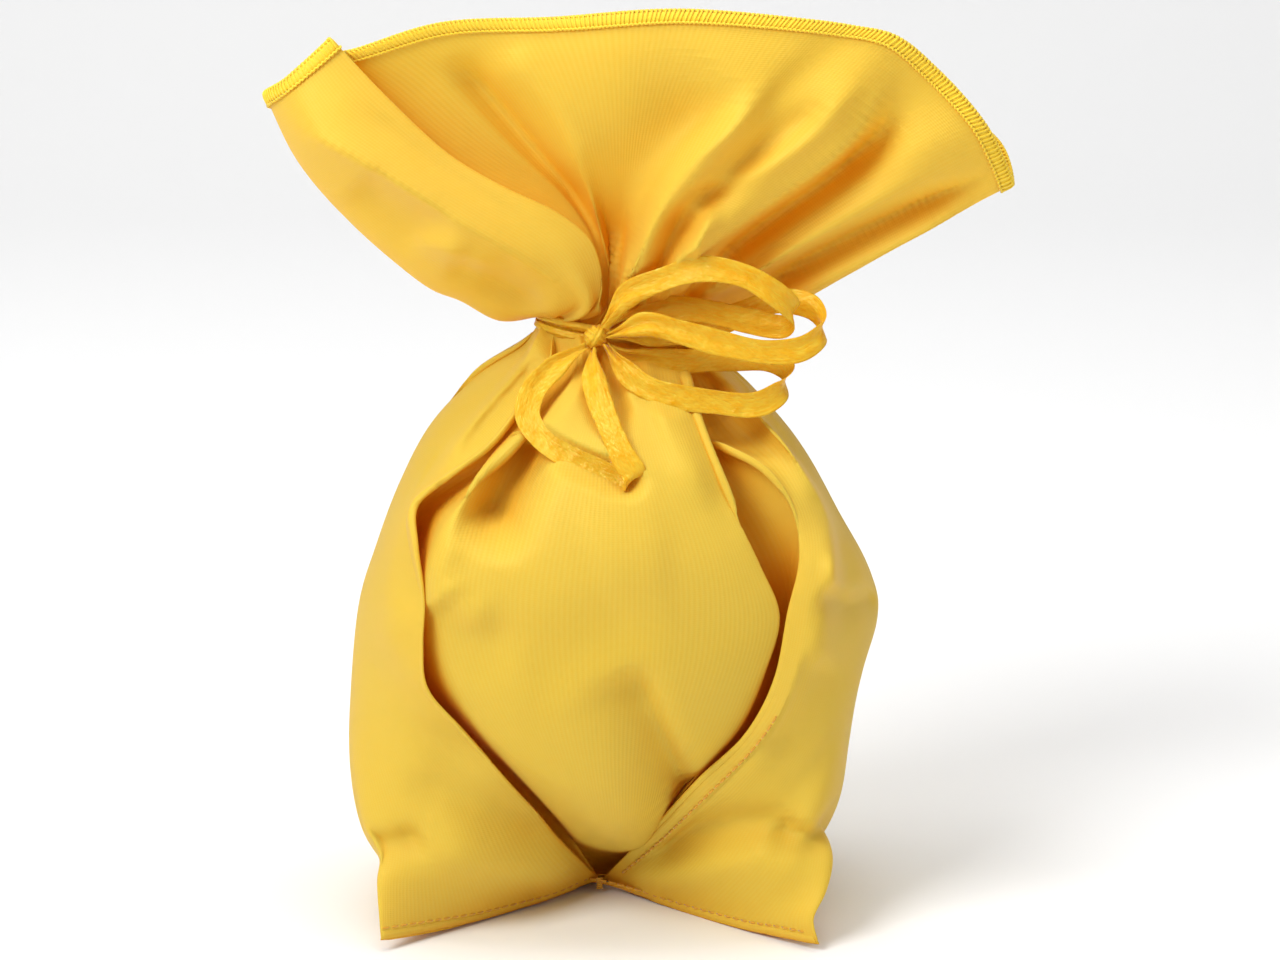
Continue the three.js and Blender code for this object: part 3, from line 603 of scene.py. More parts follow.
collarStrokes = [
    ("leftFold", "lobeFold", -3.2, 2.5, 2.5, 1.2, [(-90, 207), (-72, 198), (-49, 184), (-29, 172),
                                                   (-10, 158)]),
    ("lobeBand", "lobeFold", 1.8, 3, 3, 1.6, [(-74, 212), (-52, 196), (-34, 184), (-16, 170)]),
    ("leftFold", "lobeBand", 4, 5, 6, 2, [(-72, 192), (-58, 181), (-46, 176)]),
    ("leftFold", "lobeBand", -4, 4, 4, 1.8, [(-58, 178), (-46, 174), (-34, 166)]),
    ("leftFold", "lobeBand", 4.5, 4, 4, 1.6, [(-48, 172), (-34, 164), (-22, 158)]),
    ("crownLeft", "crown", 10.5, 5.5, 13, 1.9, [(-50, 222), (-37, 206), (-24, 188), (-13, 173)]),
    ("crownLeft", "crown", -3.4, 5, 7, 1.8, [(-36, 226), (-20, 208), (-10, 188)]),
    ("crownMiddle", "ridgeOne", 9, 15, 4.5, 1.8, [(-8, 166), (1, 186), (14, 205), (26, 218)]),
    ("crown", "hollow", -7, 3.5, 6, 1.3, [(-6, 162), (8, 192), (25, 207), (34, 219)]),
    ("ridgeOne", "ridgeTwo", 5.5, 4, 5, 1.8, [(12, 185), (33, 199), (50, 214)]),
    ("ridgeOne", "ridgeTwo", -4.5, 4, 4, 1.7, [(9, 190), (28, 194), (45, 204), (58, 218)]),
    ("hollow", "darkValley", -8, 6, 2.6, 1.3, [(0, 156), (17, 175), (32, 186), (54, 203), (65, 221)]),
    ("ridgeTwo", "ridgeThree", 10, 3.5, 8, 1.5, [(15, 165), (31, 178), (49, 191), (67, 211)]),
    ("ridgeOne", "ridgeTwo", 5, 3, 3, 1.4, [(0, 160), (7, 175), (14, 188)]),
    ("ridgeOne", "ridgeTwo", -3.6, 2.5, 2.5, 1.4, [(6, 158), (14, 176), (20, 190)]),
    ("ridgeThree", "rightFold", 7.5, 1.8, 2.6, 1.2, [(24, 160), (55, 178), (92, 195)]),
    ("ridgeThree", "rightFold", -4, 3, 3, 1.8, [(28, 157), (57, 172), (88, 187)]),
]


# keeps the cloth behind every loop of ribbon that hangs in front of it
def behindRibbon(points, clear=1.1, reach=5.5):
    points = points.copy()
    flat = onBoard(points)
    for line in ribbonLines:
        route = line[::4] / mm
        marks = onBoard(route)
        offset = np.linalg.norm(flat[:, :, None] - marks[None, None], axis=3)
        fall = np.clip(offset / reach, 0, 1)
        wanted = np.where(offset < reach, route[:, 1] + clear - 7 * fall ** 3, -1e3).max(2)
        front = points[:, :, 1] < 0
        points[:, :, 1] = np.where(front, np.maximum(points[:, :, 1], wanted), points[:, :, 1])
    return points


# gathers drawn in by the tie: ridges that run out from the neck, each to its own length
def gathered(points, owner, names, fromNeck, shape, seed):
    draw = random.Random(seed)
    ring = points[:, 0] if fromNeck else points[:, -1]
    steps = np.linalg.norm(np.roll(ring, -1, 0) - ring, axis=1)
    angle = 2 * math.pi * np.concatenate([[0], np.cumsum(steps)[:-1]]) / steps.sum()
    run = np.concatenate([np.zeros((len(points), 1)),
                          np.cumsum(np.linalg.norm(np.diff(points, axis=1), axis=2), axis=1)], axis=1)
    far = run if fromNeck else run[:, -1:] - run
    lift = np.zeros(far.shape)
    for i in range(shape["pleats"]):
        middle = 2 * math.pi * (i + draw.uniform(-0.3, 0.3)) / shape["pleats"]
        reach = shape["reach"] * draw.uniform(0.35, 1.25)
        bend = draw.uniform(-0.004, 0.004)
        away = np.angle(np.exp(1j * (angle[:, None] - middle - bend * far)))
        width = shape["share"] * 2 * math.pi / shape["pleats"] * draw.uniform(0.8, 1.25)
        lift += draw.uniform(0.7, 1.3) * np.exp(-np.abs(away / width) ** 1.5) * np.exp(-(far / reach) ** 2)
    for first, last in shape["calm"]:
        beyond = np.maximum(names.index(first) - owner, owner - names.index(last))
        lift = lift * easeInOut((beyond + 0.1) / 0.7)[:, None]
    growth = easeInOut(far / shape["start"])
    outwards = skinNormals(points)
    if (outwards[:, :, 1] * (points[:, :, 1] > 6)).sum() < 0:
        outwards = -outwards
    fading = np.exp(-(far / (2 * shape["reach"])) ** 2)
    amount = shape["height"] * (lift - 0.45) * (0.25 + 0.75 * growth) * fading
    return points + outwards * amount[..., None]


pouchGather = {"pleats": 22, "reach": 38.0, "share": 0.27, "height": 2.6, "start": 8.0,
               "calm": [("leftLip", "leftValley"), ("bulgeEdge", "rightGap")]}
collarGather = {"pleats": 22, "reach": 32.0, "share": 0.27, "height": 2.4, "start": 8.0,
                "calm": [("lobeFold", "lobeValley")]}

pouchShape = {"along": 230, "step": 1.15, "relaxRounds": 2, "thickness": 0.35}
collarShape = {"along": 140, "step": 1.15, "relaxRounds": 1, "thickness": 0.35}


# draws the belly back where it comes too far forward, and keeps all cloth off the floor
bellyEase = {"start": -40, "share": 0.75, "floor": 0.2}


def clothSkin(name, guides, names, shape, strokes, gather, fromNeck, seed):
    points, owner = skin(guides, shape["along"], shape["step"])
    points = relax(points, shape["relaxRounds"], 1)
    points = pressed(points, owner, names, strokes)
    points = gathered(points, owner, names, fromNeck, gather, seed)
    points = relax(behindRibbon(points), 1, 1)
    front, start = points[:, :, 1], bellyEase["start"]
    points[:, :, 1] = np.where(front < start, start + (front - start) * bellyEase["share"], front)
    points[:, :, 2] = np.maximum(points[:, :, 2], bellyEase["floor"])
    normals = skinNormals(points)
    if (normals[:, :, 1] * (points[:, :, 1] > 10)).sum() < 0:
        normals = -normals
    piece = gridPiece(name, points)
    solid = piece.modifiers.new("thickness", "SOLIDIFY")
    solid.thickness, solid.offset = shape["thickness"] * mm, 0
    print(name, "lofted", points.shape)
    return piece, points, owner, normals


guides, pouchNames = pouchGuides()
pouch, pouchPoints, pouchOwner, pouchNormals = clothSkin(
    "pouchCloth", guides, pouchNames, pouchShape, pouchStrokes, pouchGather, False, 31)
guides, collarNames = collarGuides()
collar, collarPoints, _, collarNormals = clothSkin(
    "collarCloth", guides, collarNames, collarShape, collarStrokes, collarGather, True, 47)


# stuffing: a crumpled fill that follows the inside of the pouch
stuffingShape = {"levels": 56, "around": 96, "clear": 1.6, "ripple": 0.05, "top": 132.0, "foot": 2.2,
                 "axisFoot": (-9.0, 20.0), "axisTop": (-6.0, 1.0)}


# draws both ends of a tube-like grid in to a point
def capped(rows):
    def inwards(ring):
        middle = ring.mean(0)
        return [middle + (ring - middle) * share for share in (0.7, 0.35, 0.002)]
    first, last = inwards(rows[:, 0]), inwards(rows[:, -1])
    return np.stack(first[::-1] + [rows[:, k] for k in range(rows.shape[1])] + last, axis=1)


def stuffingPiece():
    draw = random.Random(5)
    tree = BVHTree.FromPolygons([tuple(v.co) for v in pouch.data.vertices],
                                [tuple(p.vertices) for p in pouch.data.polygons])
    turn = np.linspace(0, 2 * math.pi, stuffingShape["around"], endpoint=False)
    share = np.linspace(0, 1, stuffingShape["levels"])
    height = stuffingShape["foot"] + (stuffingShape["top"] - stuffingShape["foot"]) * share
    (footX, footY), (topX, topY) = stuffingShape["axisFoot"], stuffingShape["axisTop"]
    blend = easeInOut(height / 60)
    axis = np.stack([footX + (topX - footX) * blend, footY + (topY - footY) * blend, height], axis=1)
    reach = np.empty((len(turn), len(share)))
    for i, a in enumerate(turn):
        for k, centre in enumerate(axis):
            hit = tree.ray_cast(Vector(centre * mm), Vector((math.cos(a), math.sin(a), 0)))
            reach[i, k] = hit[3] / mm if hit[0] is not None else 4.0
    for _ in range(3):
        beside = np.minimum(np.roll(reach, 1, 0), np.roll(reach, -1, 0))
        reach = np.minimum(reach, (reach + beside) / 2)
    for _ in range(6):
        smooth = (np.roll(reach, 1, 0) + np.roll(reach, -1, 0)) / 2
        smooth[:, 1:-1] = (smooth[:, 1:-1] + (reach[:, :-2] + reach[:, 2:]) / 2) / 2
        reach = np.minimum(reach, smooth)
    reach = np.maximum(1.0, reach - stuffingShape["clear"] - 1.2)
    ripple = np.zeros(reach.shape)
    for _ in range(7):
        n, phase, m, shift = draw.randint(3,
                                          13), draw.uniform(0, 6.3), draw.uniform(6, 30), draw.uniform(0, 6.3)
        ripple += np.sin(n * turn[:, None] + phase + 1.3 * np.sin(m * share[None] + shift)) / 7
    reach = reach * (1 - stuffingShape["ripple"] * (1 + ripple))
    rows = axis[None] + reach[..., None] * np.stack([np.cos(turn), np.sin(turn), 0 * turn], axis=1)[:, None]
    piece = gridPiece("stuffingFill", capped(rows), sealed=True)
    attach(piece, "sack")
    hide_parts("stuffing")
    return piece


stuffing = stuffingPiece()
print("stuffing filled")

def columnOf(owner, names, name, share=0.0):
    return int(np.argmin(np.abs(owner - names.index(name) - share)))


# many thin tubes as one piece; each run is points, and radius may vary along it
def threadPiece(name, runs, radii, sides=6, node=None):
    vertices, faces = [], []
    for run, radius in zip(runs, radii):
        run = np.asarray(run, float)
        along = unit(np.gradient(run, axis=0))
        reference = np.where(np.abs(along[:, 1:2]) > 0.8, [[1.0, 0, 0]], [[0, -1.0, 0]])
        out = unit(reference - along * (reference * along).sum(1, keepdims=True))
        up = np.cross(along, out)
        radius = np.broadcast_to(np.asarray(radius, float), (len(run),))
        first = len(vertices)
        for k in range(len(run)):
            for s in range(sides):
                a = 2 * math.pi * s / sides
                vertices.append((run[k] + radius[k] * (out[k] * math.cos(a) + up[k] * math.sin(a))) * mm)
        for k in range(len(run) - 1):
            for s in range(sides):
                n = (s + 1) % sides
                faces.append((first + k * sides + s, first + k * sides + n,
                              first + (k + 1) * sides + n, first + (k + 1) * sides + s))
        faces.append(tuple(first + s for s in range(sides))[::-1])
        faces.append(tuple(first + (len(run) - 1) * sides + s for s in range(sides)))
    mesh = bpy.data.meshes.new(name)
    mesh.from_pydata([tuple(v) for v in vertices], [], faces)
    mesh.polygons.foreach_set("use_smooth", [True] * len(mesh.polygons))
    mesh.update()
    piece = bpy.data.objects.new(name, mesh)
    bpy.context.scene.collection.objects.link(piece)
    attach(piece, "sack")
    if node:
        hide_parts(node)
    return piece


threadPieces, clothTrims = [], []

# overlocked rim: a padded edge, ladder threads over it, and a chain along each side
overlock = {"pitch": 1.1, "depth": 3.0, "ladder": 0.27, "chain": 0.3, "core": 0.42, "slant": 0.35}


def rimFrames():
    rim, below = collarPoints[:, -1], collarPoints[:, -4]
    up = unit(rim - below)
    closedRim = np.vstack([rim, rim[:1]])
    length = np.linalg.norm(np.diff(closedRim, axis=0), axis=1).sum()
    count = round(length / overlock["pitch"])
    run = np.concatenate([[0], np.cumsum(np.linalg.norm(np.diff(closedRim, axis=0), axis=1))])

    def spread(values, perStitch):
        looped = np.vstack([values, values[:1]])
        at = np.linspace(0, run[-1], count * perStitch, endpoint=False)
        return np.stack([np.interp(at, run, looped[:, k]) for k in range(3)], axis=1)
    return count, spread, rim, up, collarNormals[:, -1]


def overlockPieces():
    count, spread, rim, up, normal = rimFrames()
    half = overlock["core"] + collarShape["thickness"] / 2
    at, ups, outs = spread(rim, 1), unit(spread(up, 1)), unit(spread(normal, 1))
    onwards = unit(np.roll(at, -1, 0) - np.roll(at, 1, 0))
    draw = random.Random(23)
    runs, radii = [], []
    ladderPath = [(1.0, -1.0), (1.12, -0.6), (1.08, -0.2), (0.7, 0.1), (0.0, 0.22), (-0.7, 0.1),
                  (-1.08, -0.2),
                  (-1.12, -0.6), (-1.0, -1.0)]
    for i in range(count):
        stray = draw.uniform(-0.12, 0.12)
        points = []
        for sideways, drop in ladderPath:
            lean = overlock["slant"] * (drop + 0.5) * (1 if sideways > 0 else -1) + stray
            points.append(at[i] + outs[i] * half * sideways + onwards[i] * lean
                          + ups[i] * (drop * overlock["depth"] if drop < 0 else drop * 2.2))
        runs.append(points)
        radii.append(overlock["ladder"] * draw.uniform(0.9, 1.1))
    perStitch = 6
    dense, denseUp, denseOut = spread(rim,
                                      perStitch), unit(spread(up, perStitch)), unit(spread(normal, perStitch))
    phase = np.arange(len(dense)) * 2 * math.pi / perStitch
    for side in (1, -1):
        chain = dense - denseUp * (overlock["depth"] * 0.97 + 0.16 * np.sin(phase))[:, None] \
            + denseOut * (side * (half + 0.08 + 0.1 * np.cos(phase)))[:, None]
        runs.append(np.vstack([chain, chain[:1]]))
        radii.append(overlock["chain"])
    edge = dense + denseUp * (0.25 + 0.12 * np.sin(phase))[:,
                                                           None] + denseOut * (0.22 * np.cos(phase))[:, None]
    runs.append(np.vstack([edge, edge[:1]]))
    radii.append(overlock["chain"] * 1.25)
    threads = threadPiece("rimOverlockThreads", runs, radii, 5, "rim_overlock")
    turn = np.linspace(0, 2 * math.pi, 12, endpoint=False)
    core = spread(rim, 1) - ups * overlock["depth"] / 2
    rows = np.array([core + ups * (math.sin(a) * overlock["depth"] * 0.52)
                     + outs * (math.cos(a) * half) for a in turn])
    rows = np.concatenate([rows, rows[:, :1]], axis=1)
    padding = gridPiece("rimOverlockPadding", rows, sealed=True)
    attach(padding, "sack")
    return [threads, padding]


threadPieces += overlockPieces()
print("rim overlocked")

# sewn seams of the pouch
seams = {"pitch": 2.6, "dash": 2.0, "radius": 0.27, "bindingHeight": 2.3, "bindingDepth": 0.75,
         "rowLift": 0.12,
         "stitchTop": 62.0, "seamTop": 92.0, "tackStitches": 6, "tackHeight": 2.6}


def alongSurface(column, distance):
    line, normal = pouchPoints[column], pouchNormals[column]
    run = np.concatenate([[0], np.cumsum(np.linalg.norm(np.diff(line, axis=0), axis=1))])
    place = np.array([np.interp(distance, run, line[:, k]) for k in range(3)])
    facing = unit(np.array([np.interp(distance, run, normal[:, k]) for k in range(3)]))
    return place, facing


def stitchRuns(line, normals):
    run = np.concatenate([[0], np.cumsum(np.linalg.norm(np.diff(line, axis=0), axis=1))])
    runs, radii = [], []
    for i in range(int(run[-1] / seams["pitch"])):
        start = i * seams["pitch"] + 0.3
        at = np.linspace(start, start + seams["dash"], 7)
        place = np.stack([np.interp(at, run, line[:, k]) for k in range(3)], axis=1)
        facing = unit(np.stack([np.interp(at, run, normals[:, k]) for k in range(3)], axis=1))
        bow = np.sin(np.linspace(0, math.pi, 7))
        runs.append(place + facing * (seams["rowLift"] + 0.28 * bow - 0.12)[:, None])
        radii.append(seams["radius"] * (0.75 + 0.35 * bow))
    return runs, radii


def bottomLine(distance):
    left = [c for c in range(len(pouchOwner)) if pouchOwner[c] <= pouchNames.index("leftLip") - 0.04]
    right = [c for c in range(len(pouchOwner))
             if pouchNames.index("rightRoll") + 0.4 <= pouchOwner[c] <= pouchNames.index("rightSide")]
    places = [alongSurface(c, distance) for c in left + right]
    line, normals = np.array([p for p, _ in places]), np.array([n for _, n in places])
    return smoothLine(line[::3], 160), smoothLine(normals[::3], 160)


def seamPieces():
    line, normals = bottomLine(seams["bindingHeight"] + 0.7)
    runs, radii = stitchRuns(line, normals)
    pieces = [threadPiece("bottomSeamStitching", runs, radii, 6, "bottom_seam_stitching")]
    column = columnOf(pouchOwner, pouchNames, "rightGap", 0.25)
    heights = pouchPoints[column, :, 2]
    top = int(np.argmax(heights > seams["stitchTop"]))
    offset = pouchNormals[column, :top] * 0.3
    line = pouchPoints[column, 8:top] + offset[8:]
    runs, radii = stitchRuns(line, pouchNormals[column, 8:top])
    pieces.append(threadPiece("frontSeamStitching", runs, radii, 6, "front_seam_stitching"))
    low, high = boxOf("centre_bartack")
    middle = bottomLine(seams["bindingHeight"] * 0.6)[0]
    nearest = int(np.argmin(np.abs(middle[:, 0] - (low[0] + high[0]) / 2)))
    tack = middle[nearest] + np.array([0, -1.0, 0])
    runs = []
    for i in range(seams["tackStitches"]):
        rise = (i / (seams["tackStitches"] - 1) - 0.5) * seams["tackHeight"]
        runs.append([tack + [s * 0.7, -0.25 * (1 - s * s), rise + 0.1 * s] for s in np.linspace(-1, 1, 6)])
    pieces.append(threadPiece("centreBartack", runs, [0.24] * len(runs), 6, "centre_bartack"))
    return pieces


def bindingPiece():
    line, normals = bottomLine(seams["bindingHeight"] / 2)
    low, _ = bottomLine(0.05)
    up = unit(line - low)
    turn = np.linspace(0, 2 * math.pi, 14, endpoint=False)
    rows = np.array([line + up * (math.sin(a) * seams["bindingHeight"] / 2)
                     + normals * (math.cos(a) * seams["bindingDepth"] / 2 + 0.1) for a in turn])
    rows[:, :, 2] = np.maximum(rows[:, :, 2], 0.05)
    piece = gridPiece("bottomSeamBinding", capped(rows), sealed=True)
    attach(piece, "sack")
    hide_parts("bottom_seam_binding")
    return piece


def seamStripPiece():
    first = columnOf(pouchOwner, pouchNames, "rightLip", 0.4)
    last = columnOf(pouchOwner, pouchNames, "rightGap", 0.55)
    top = int(np.argmax(pouchPoints[last, :, 2] > seams["seamTop"]))
    rise = np.minimum(1, np.linspace(0, 1, top - 10) * 5) * np.minimum(1, np.linspace(1, 0, top - 10) * 3)
    patch = pouchPoints[first:last + 1,
                        10:top] + pouchNormals[first:last + 1, 10:top] * (0.36 * rise - 0.24)[None, :, None]
    piece = gridPiece("frontSeamStrip", patch, closed=False)
    solid = piece.modifiers.new("thickness", "SOLIDIFY")
    solid.thickness, solid.offset = 0.3 * mm, 0
    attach(piece, "sack")
    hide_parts("front_seam_strip")
    return piece


threadPieces += seamPieces()
clothTrims += [bindingPiece(), seamStripPiece()]
print("seams sewn")

# the cloth before it was sewn: one tube, cut 0.20 wide flat and 0.25 long, in metres
cutCloth = {"around": 0.40, "pouchLength": 0.165, "collarLength": 0.085}
for piece, node, flatLength in ((pouch, "pouch_cloth", cutCloth["pouchLength"]),
                                (collar, "collar_cloth", cutCloth["collarLength"])):
    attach(piece, "sack")
    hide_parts(node)


# shader tools: a socket that takes arithmetic, and one method that makes every other node
class Wire:
    def __init__(self, finish, socket):
        self.finish, self.socket = finish, socket

    def combine(self, operation, first, second):
        return self.finish.node("ShaderNodeMath", {"operation": operation}, {0: first, 1: second})

    def __add__(self, other): return self.combine("ADD", self, other)
    def __radd__(self, other): return self.combine("ADD", other, self)
    def __sub__(self, other): return self.combine("SUBTRACT", self, other)
    def __rsub__(self, other): return self.combine("SUBTRACT", other, self)
    def __mul__(self, other): return self.combine("MULTIPLY", self, other)
    def __rmul__(self, other): return self.combine("MULTIPLY", other, self)
    def __truediv__(self, other): return self.combine("DIVIDE", self, other)

    def sine(self): return self.finish.node("ShaderNodeMath", {"operation": "SINE"}, {0: self})


class Finish:
    def __init__(self, name):
        self.material = bpy.data.materials.new(name)
        self.material.use_nodes = True
        self.tree = self.material.node_tree
        self.tree.nodes.clear()

    def node(self, kind, settings=None, sockets=None, out=0):
        made = self.tree.nodes.new(kind)
        for name, value in (settings or {}).items():
            if name == "stops":
                for stop, (place, colour) in zip(made.color_ramp.elements, value):
                    stop.position, stop.color = place, (*colour, 1)
            else:
                setattr(made, name, value)
        for name, value in (sockets or {}).items():
            if isinstance(value, Wire):
                self.tree.links.new(value.socket, made.inputs[name])
            else:
                made.inputs[name].default_value = value
        return Wire(self, made.outputs[out] if made.outputs else None)

    def mixColour(self, share, first, second, blend="MIX"):
        made = self.node("ShaderNodeMix", {"data_type": "RGBA", "blend_type": blend}, {0: share}, out=2)
        for index, value in ((6, first), (7, second)):
            if isinstance(value, Wire):
                self.tree.links.new(value.socket, made.socket.node.inputs[index])
            else:
                made.socket.node.inputs[index].default_value = (*value, 1)
        return made

    def surface(self, sockets, glow=None):
        shader = self.node("ShaderNodeBsdfPrincipled", None, sockets)
        if glow:
            share, colour = glow
            through = self.node("ShaderNodeBsdfTranslucent", None, {"Color": (*colour, 1)})
            shader = self.node("ShaderNodeMixShader", None, {0: share, 1: shader, 2: through})
        self.node("ShaderNodeOutputMaterial", None, {"Surface": shader})
        return self.material

    def splitMap(self):
        cloth = self.node("ShaderNodeUVMap", {"uv_map": "clothMap"})
        parts = self.node("ShaderNodeSeparateXYZ", None, {0: cloth})
        return parts, Wire(self, parts.socket.node.outputs[1])


# cloth colours: base and shade are two yellows mixed at random, and rib darkens along the weave; hollow is
# painted shade, an orange tint for folds and recesses, with its reach, start and gain
clothFinish = {"base": (0.98, 0.86, 0.16), "shade": (0.97, 0.80, 0.09), "rib": (0.91, 0.60, 0.010),
               "hollow": (0.95, 0.42, 0.0), "paintedShadeReach": 0.016, "paintedShadeStart": 0.72, "paintedShadeGain": 1.5,
               "ribTone": 0.34, "roughness": 0.44,
               "sheen": 0.08, "glow": (0.42, (1.0, 0.76, 0.012)),
               "ribPitch": 0.0008, "yarnPitch": 0.00055, "ribDepth": 0.00006, "creaseDepth": 0.0007}


def clothMaterial():
    finish = Finish("sackCloth")
    across, along = finish.splitMap()
    ribs = (across * (2 * math.pi / clothFinish["ribPitch"])).sine()
    yarns = (along * (2 * math.pi / clothFinish["yarnPitch"])).sine()
    weave = ribs * 0.6 + yarns * 0.4
    place = finish.node("ShaderNodeTexCoord", None, None, out=3)
    broad = finish.node("ShaderNodeTexNoise", None, {"Vector": place, "Scale": 26.0, "Detail": 3.0})
    fine = finish.node("ShaderNodeTexNoise", None, {"Vector": place, "Scale": 900.0, "Detail": 2.0})
    tone = finish.mixColour(broad * 0.6 + fine * 0.4, clothFinish["base"], clothFinish["shade"])
    tone = finish.mixColour((0.5 - weave * 0.5) * clothFinish["ribTone"], tone, clothFinish["rib"])
    # painted shade: the base colour turns towards the orange hollow colour wherever ambient occlusion finds
    # the cloth closed in, in folds, recesses and where other pieces lie close
    openness = finish.node("ShaderNodeAmbientOcclusion", {"samples": 6},
                           {"Distance": clothFinish["paintedShadeReach"]},
                           out=1)
    tone = finish.mixColour((clothFinish["paintedShadeStart"] - openness) * clothFinish["paintedShadeGain"], tone,
                            clothFinish["hollow"])
    crease = finish.node("ShaderNodeTexNoise", None, {"Vector": place, "Scale": 55.0, "Detail": 4.0,
                                                      "Roughness": 0.45})
    height = weave * clothFinish["ribDepth"] + crease * clothFinish["creaseDepth"] + fine * 0.00004
    bump = finish.node("ShaderNodeBump", None, {"Strength": 0.55, "Distance": 1.0, "Height": height})
    rough = broad * 0.12 + (clothFinish["roughness"] - 0.06)
    return finish.surface({"Base Color": tone, "Roughness": rough, "Normal": bump,
                           "Sheen Weight": clothFinish["sheen"], "Sheen Roughness": 0.35,
                           "Sheen Tint": (1.0, 0.93, 0.75, 1), "Specular IOR Level": 0.3,
                           "Specular Tint": (1.0, 0.86, 0.45, 1)}, clothFinish["glow"])


# ribbon colours: base is the lit gold and shade a darker gold, partly tone that varies at random and partly
# painted shade and highlight of the crumples and satin streaks
ribbonFinish = {"base": (1.0, 0.78, 0.07), "shade": (0.97, 0.50, 0.004), "roughness": 0.24,
                "glow": (0.34, (1.0, 0.66, 0.008)),
                "satinAcross": 0.0012, "satinAlong": 0.0021, "crumple": 0.0008}


def ribbonMaterial():
    finish = Finish("satinRibbon")
    across, along = finish.splitMap()
    stretched = finish.node("ShaderNodeCombineXYZ", None, {0: across * 2400, 1: along * 330, 2: 0.0})
    lines = finish.node("ShaderNodeTexNoise", None, {"Vector": stretched, "Scale": 1.0, "Detail": 4.0})
    satin = (across * (2 * math.pi / ribbonFinish["satinAcross"])
             + along * (2 * math.pi / ribbonFinish["satinAlong"]) + lines * 5).sine()
    place = finish.node("ShaderNodeTexCoord", None, None, out=3)
    crumple = finish.node("ShaderNodeTexNoise", None, {"Vector": place, "Scale": 330.0, "Detail": 3.0})
    # painted shade and highlight: the satin-line and crumple noise that drives the bump also mixes the gold
    # towards the darker shade colour, on top of random tone variation
    tone = finish.mixColour(lines * 1.8 + crumple * 1.2 - 1.0 + satin * 0.05, ribbonFinish["base"],
                            ribbonFinish["shade"])
    height = lines * 0.0003 + satin * 0.00002 + crumple * ribbonFinish["crumple"]
    bump = finish.node("ShaderNodeBump", None, {"Strength": 0.9, "Distance": 1.0, "Height": height})
    rough = lines * 0.2 + (ribbonFinish["roughness"] - 0.08)
    return finish.surface({"Base Color": tone, "Roughness": rough, "Normal": bump, "Sheen Weight": 0.2,
                           "Sheen Roughness": 0.3, "Specular IOR Level": 0.7,
                           "Specular Tint": (1.0, 0.82, 0.35, 1)}, ribbonFinish["glow"])


# thread colours: the seam thread is darker than the rim thread, partly its own deeper orange and partly
# painted shade of the sunk stitch holes
threadFinish = {"rim": ((0.98, 0.72, 0.030), (0.94, 0.60, 0.012)),
                "seam": ((0.80, 0.42, 0.008), (0.66, 0.28, 0.003)),
                "roughness": 0.55}


def threadMaterial(name):
    base, shade = threadFinish[name]
    finish = Finish(name + "Thread")
    place = finish.node("ShaderNodeTexCoord", None, None, out=3)
    fibres = finish.node("ShaderNodeTexNoise", None, {"Vector": place, "Scale": 2600.0, "Detail": 2.0})
    tone = finish.mixColour(fibres, base, shade)
    bump = finish.node("ShaderNodeBump", None, {"Strength": 0.5, "Distance": 1.0, "Height": fibres * 0.0001})
    return finish.surface({"Base Color": tone, "Roughness": fibres * 0.2 + threadFinish["roughness"],
                           "Normal": bump, "Sheen Weight": 0.3})


def fillingMaterial():
    finish = Finish("softFilling")
    place = finish.node("ShaderNodeTexCoord", None, None, out=3)
    clumps = finish.node("ShaderNodeTexNoise", None, {"Vector": place, "Scale": 90.0, "Detail": 5.0})
    tone = finish.mixColour(clumps, (0.86, 0.85, 0.8), (0.72, 0.7, 0.64))
    bump = finish.node("ShaderNodeBump", None, {"Strength": 0.6, "Distance": 1.0, "Height": clumps * 0.002})
    return finish.surface({"Base Color": tone, "Roughness": clumps * 0.1 + 0.85, "Normal": bump})


def dress(pieces, material):
    for piece in pieces:
        piece.data.materials.clear()
        piece.data.materials.append(material)


clothLook = clothMaterial()
dress([pouch, collar] + clothTrims, clothLook)
dress(ribbonPieces, ribbonMaterial())
dress(threadPieces[:2], threadMaterial("rim"))
dress(threadPieces[2:], threadMaterial("seam"))
dress([stuffing], fillingMaterial())
print("materials made")

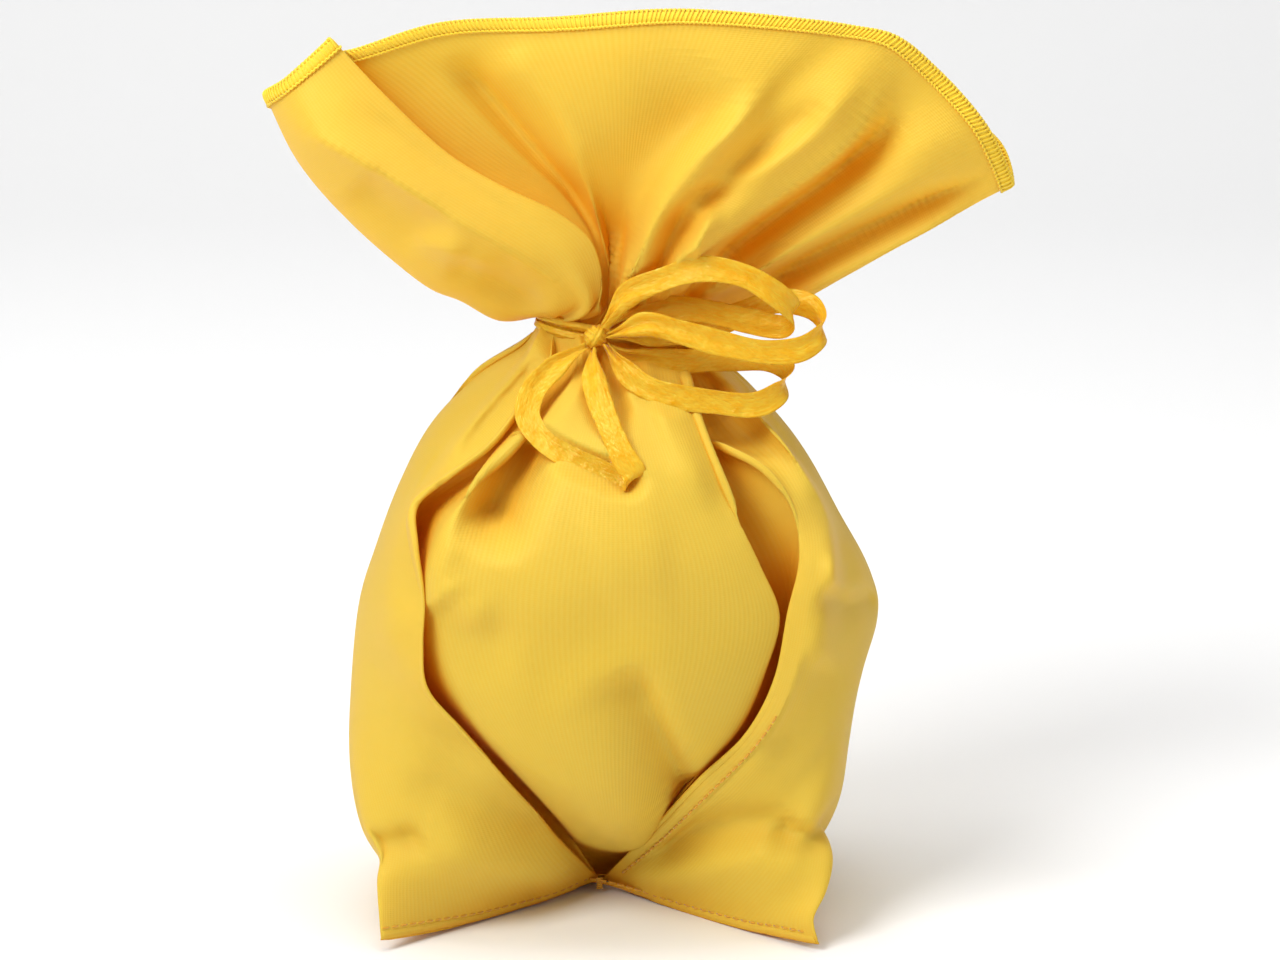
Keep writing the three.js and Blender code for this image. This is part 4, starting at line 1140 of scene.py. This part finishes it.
# studio
studio = {"floorColour": (0.9, 0.9, 0.9), "world": 0.25, "halfWidth": 3.0, "front": -3.0, "bend": 0.9,
          "radius": 0.5, "wallTop": 2.6,
          "lamps": [("keyBox", (-0.75, -0.75, 1.1), (0.6, 0.6), 15.5),
                    ("topBox", (0.1, 0.0, 1.3), (0.8, 0.8), 5.5),
                    ("rightBox", (1.1, -0.55, 0.5), (0.7, 1.0), 1.5),
                    ("wallBox", (0.0, -0.1, 2.2), (2.0, 0.6), 16.0)]}


# pale sweep: a floor that bends up into a wall behind the sack
def makeStudio():
    profile = [(studio["front"], 0.0), (studio["bend"], 0.0)]
    profile += [(studio["bend"] + studio["radius"] * math.sin(a), studio["radius"] * (1 - math.cos(a)))
                for a in np.linspace(0, math.pi / 2, 16)[1:]]
    profile.append((studio["bend"] + studio["radius"], studio["wallTop"]))
    vertices = [(side * studio["halfWidth"], y, z) for y, z in profile for side in (-1, 1)]
    faces = [(2 * k, 2 * k + 1, 2 * k + 3, 2 * k + 2) for k in range(len(profile) - 1)]
    mesh = bpy.data.meshes.new("studioSweep")
    mesh.from_pydata(vertices, [], faces)
    mesh.polygons.foreach_set("use_smooth", [True] * len(mesh.polygons))
    sweep = bpy.data.objects.new("studioSweep", mesh)
    bpy.context.scene.collection.objects.link(sweep)
    finish = Finish("paleSweep")
    mesh.materials.append(finish.surface({"Base Color": (*studio["floorColour"], 1), "Roughness": 0.9}))
    world = bpy.data.worlds.new("studioWorld")
    bpy.context.scene.world = world
    world.use_nodes = True
    world.node_tree.nodes["Background"].inputs[0].default_value = (1, 1, 1, 1)
    world.node_tree.nodes["Background"].inputs[1].default_value = studio["world"]
    for name, place, size, power in studio["lamps"]:
        data = bpy.data.lights.new(name, "AREA")
        data.shape, data.size, data.size_y, data.energy = "RECTANGLE", size[0], size[1], power
        lamp = bpy.data.objects.new(name, data)
        bpy.context.scene.collection.objects.link(lamp)
        lamp.location = place
        target = Vector((0, 1.3, 0.9)) if name == "wallBox" else Vector((0, 0, 0.11))
        lamp.rotation_euler = (target - Vector(place)).to_track_quat("-Z", "Y").to_euler()
    bpy.context.scene.view_settings.view_transform = "Standard"


makeStudio()
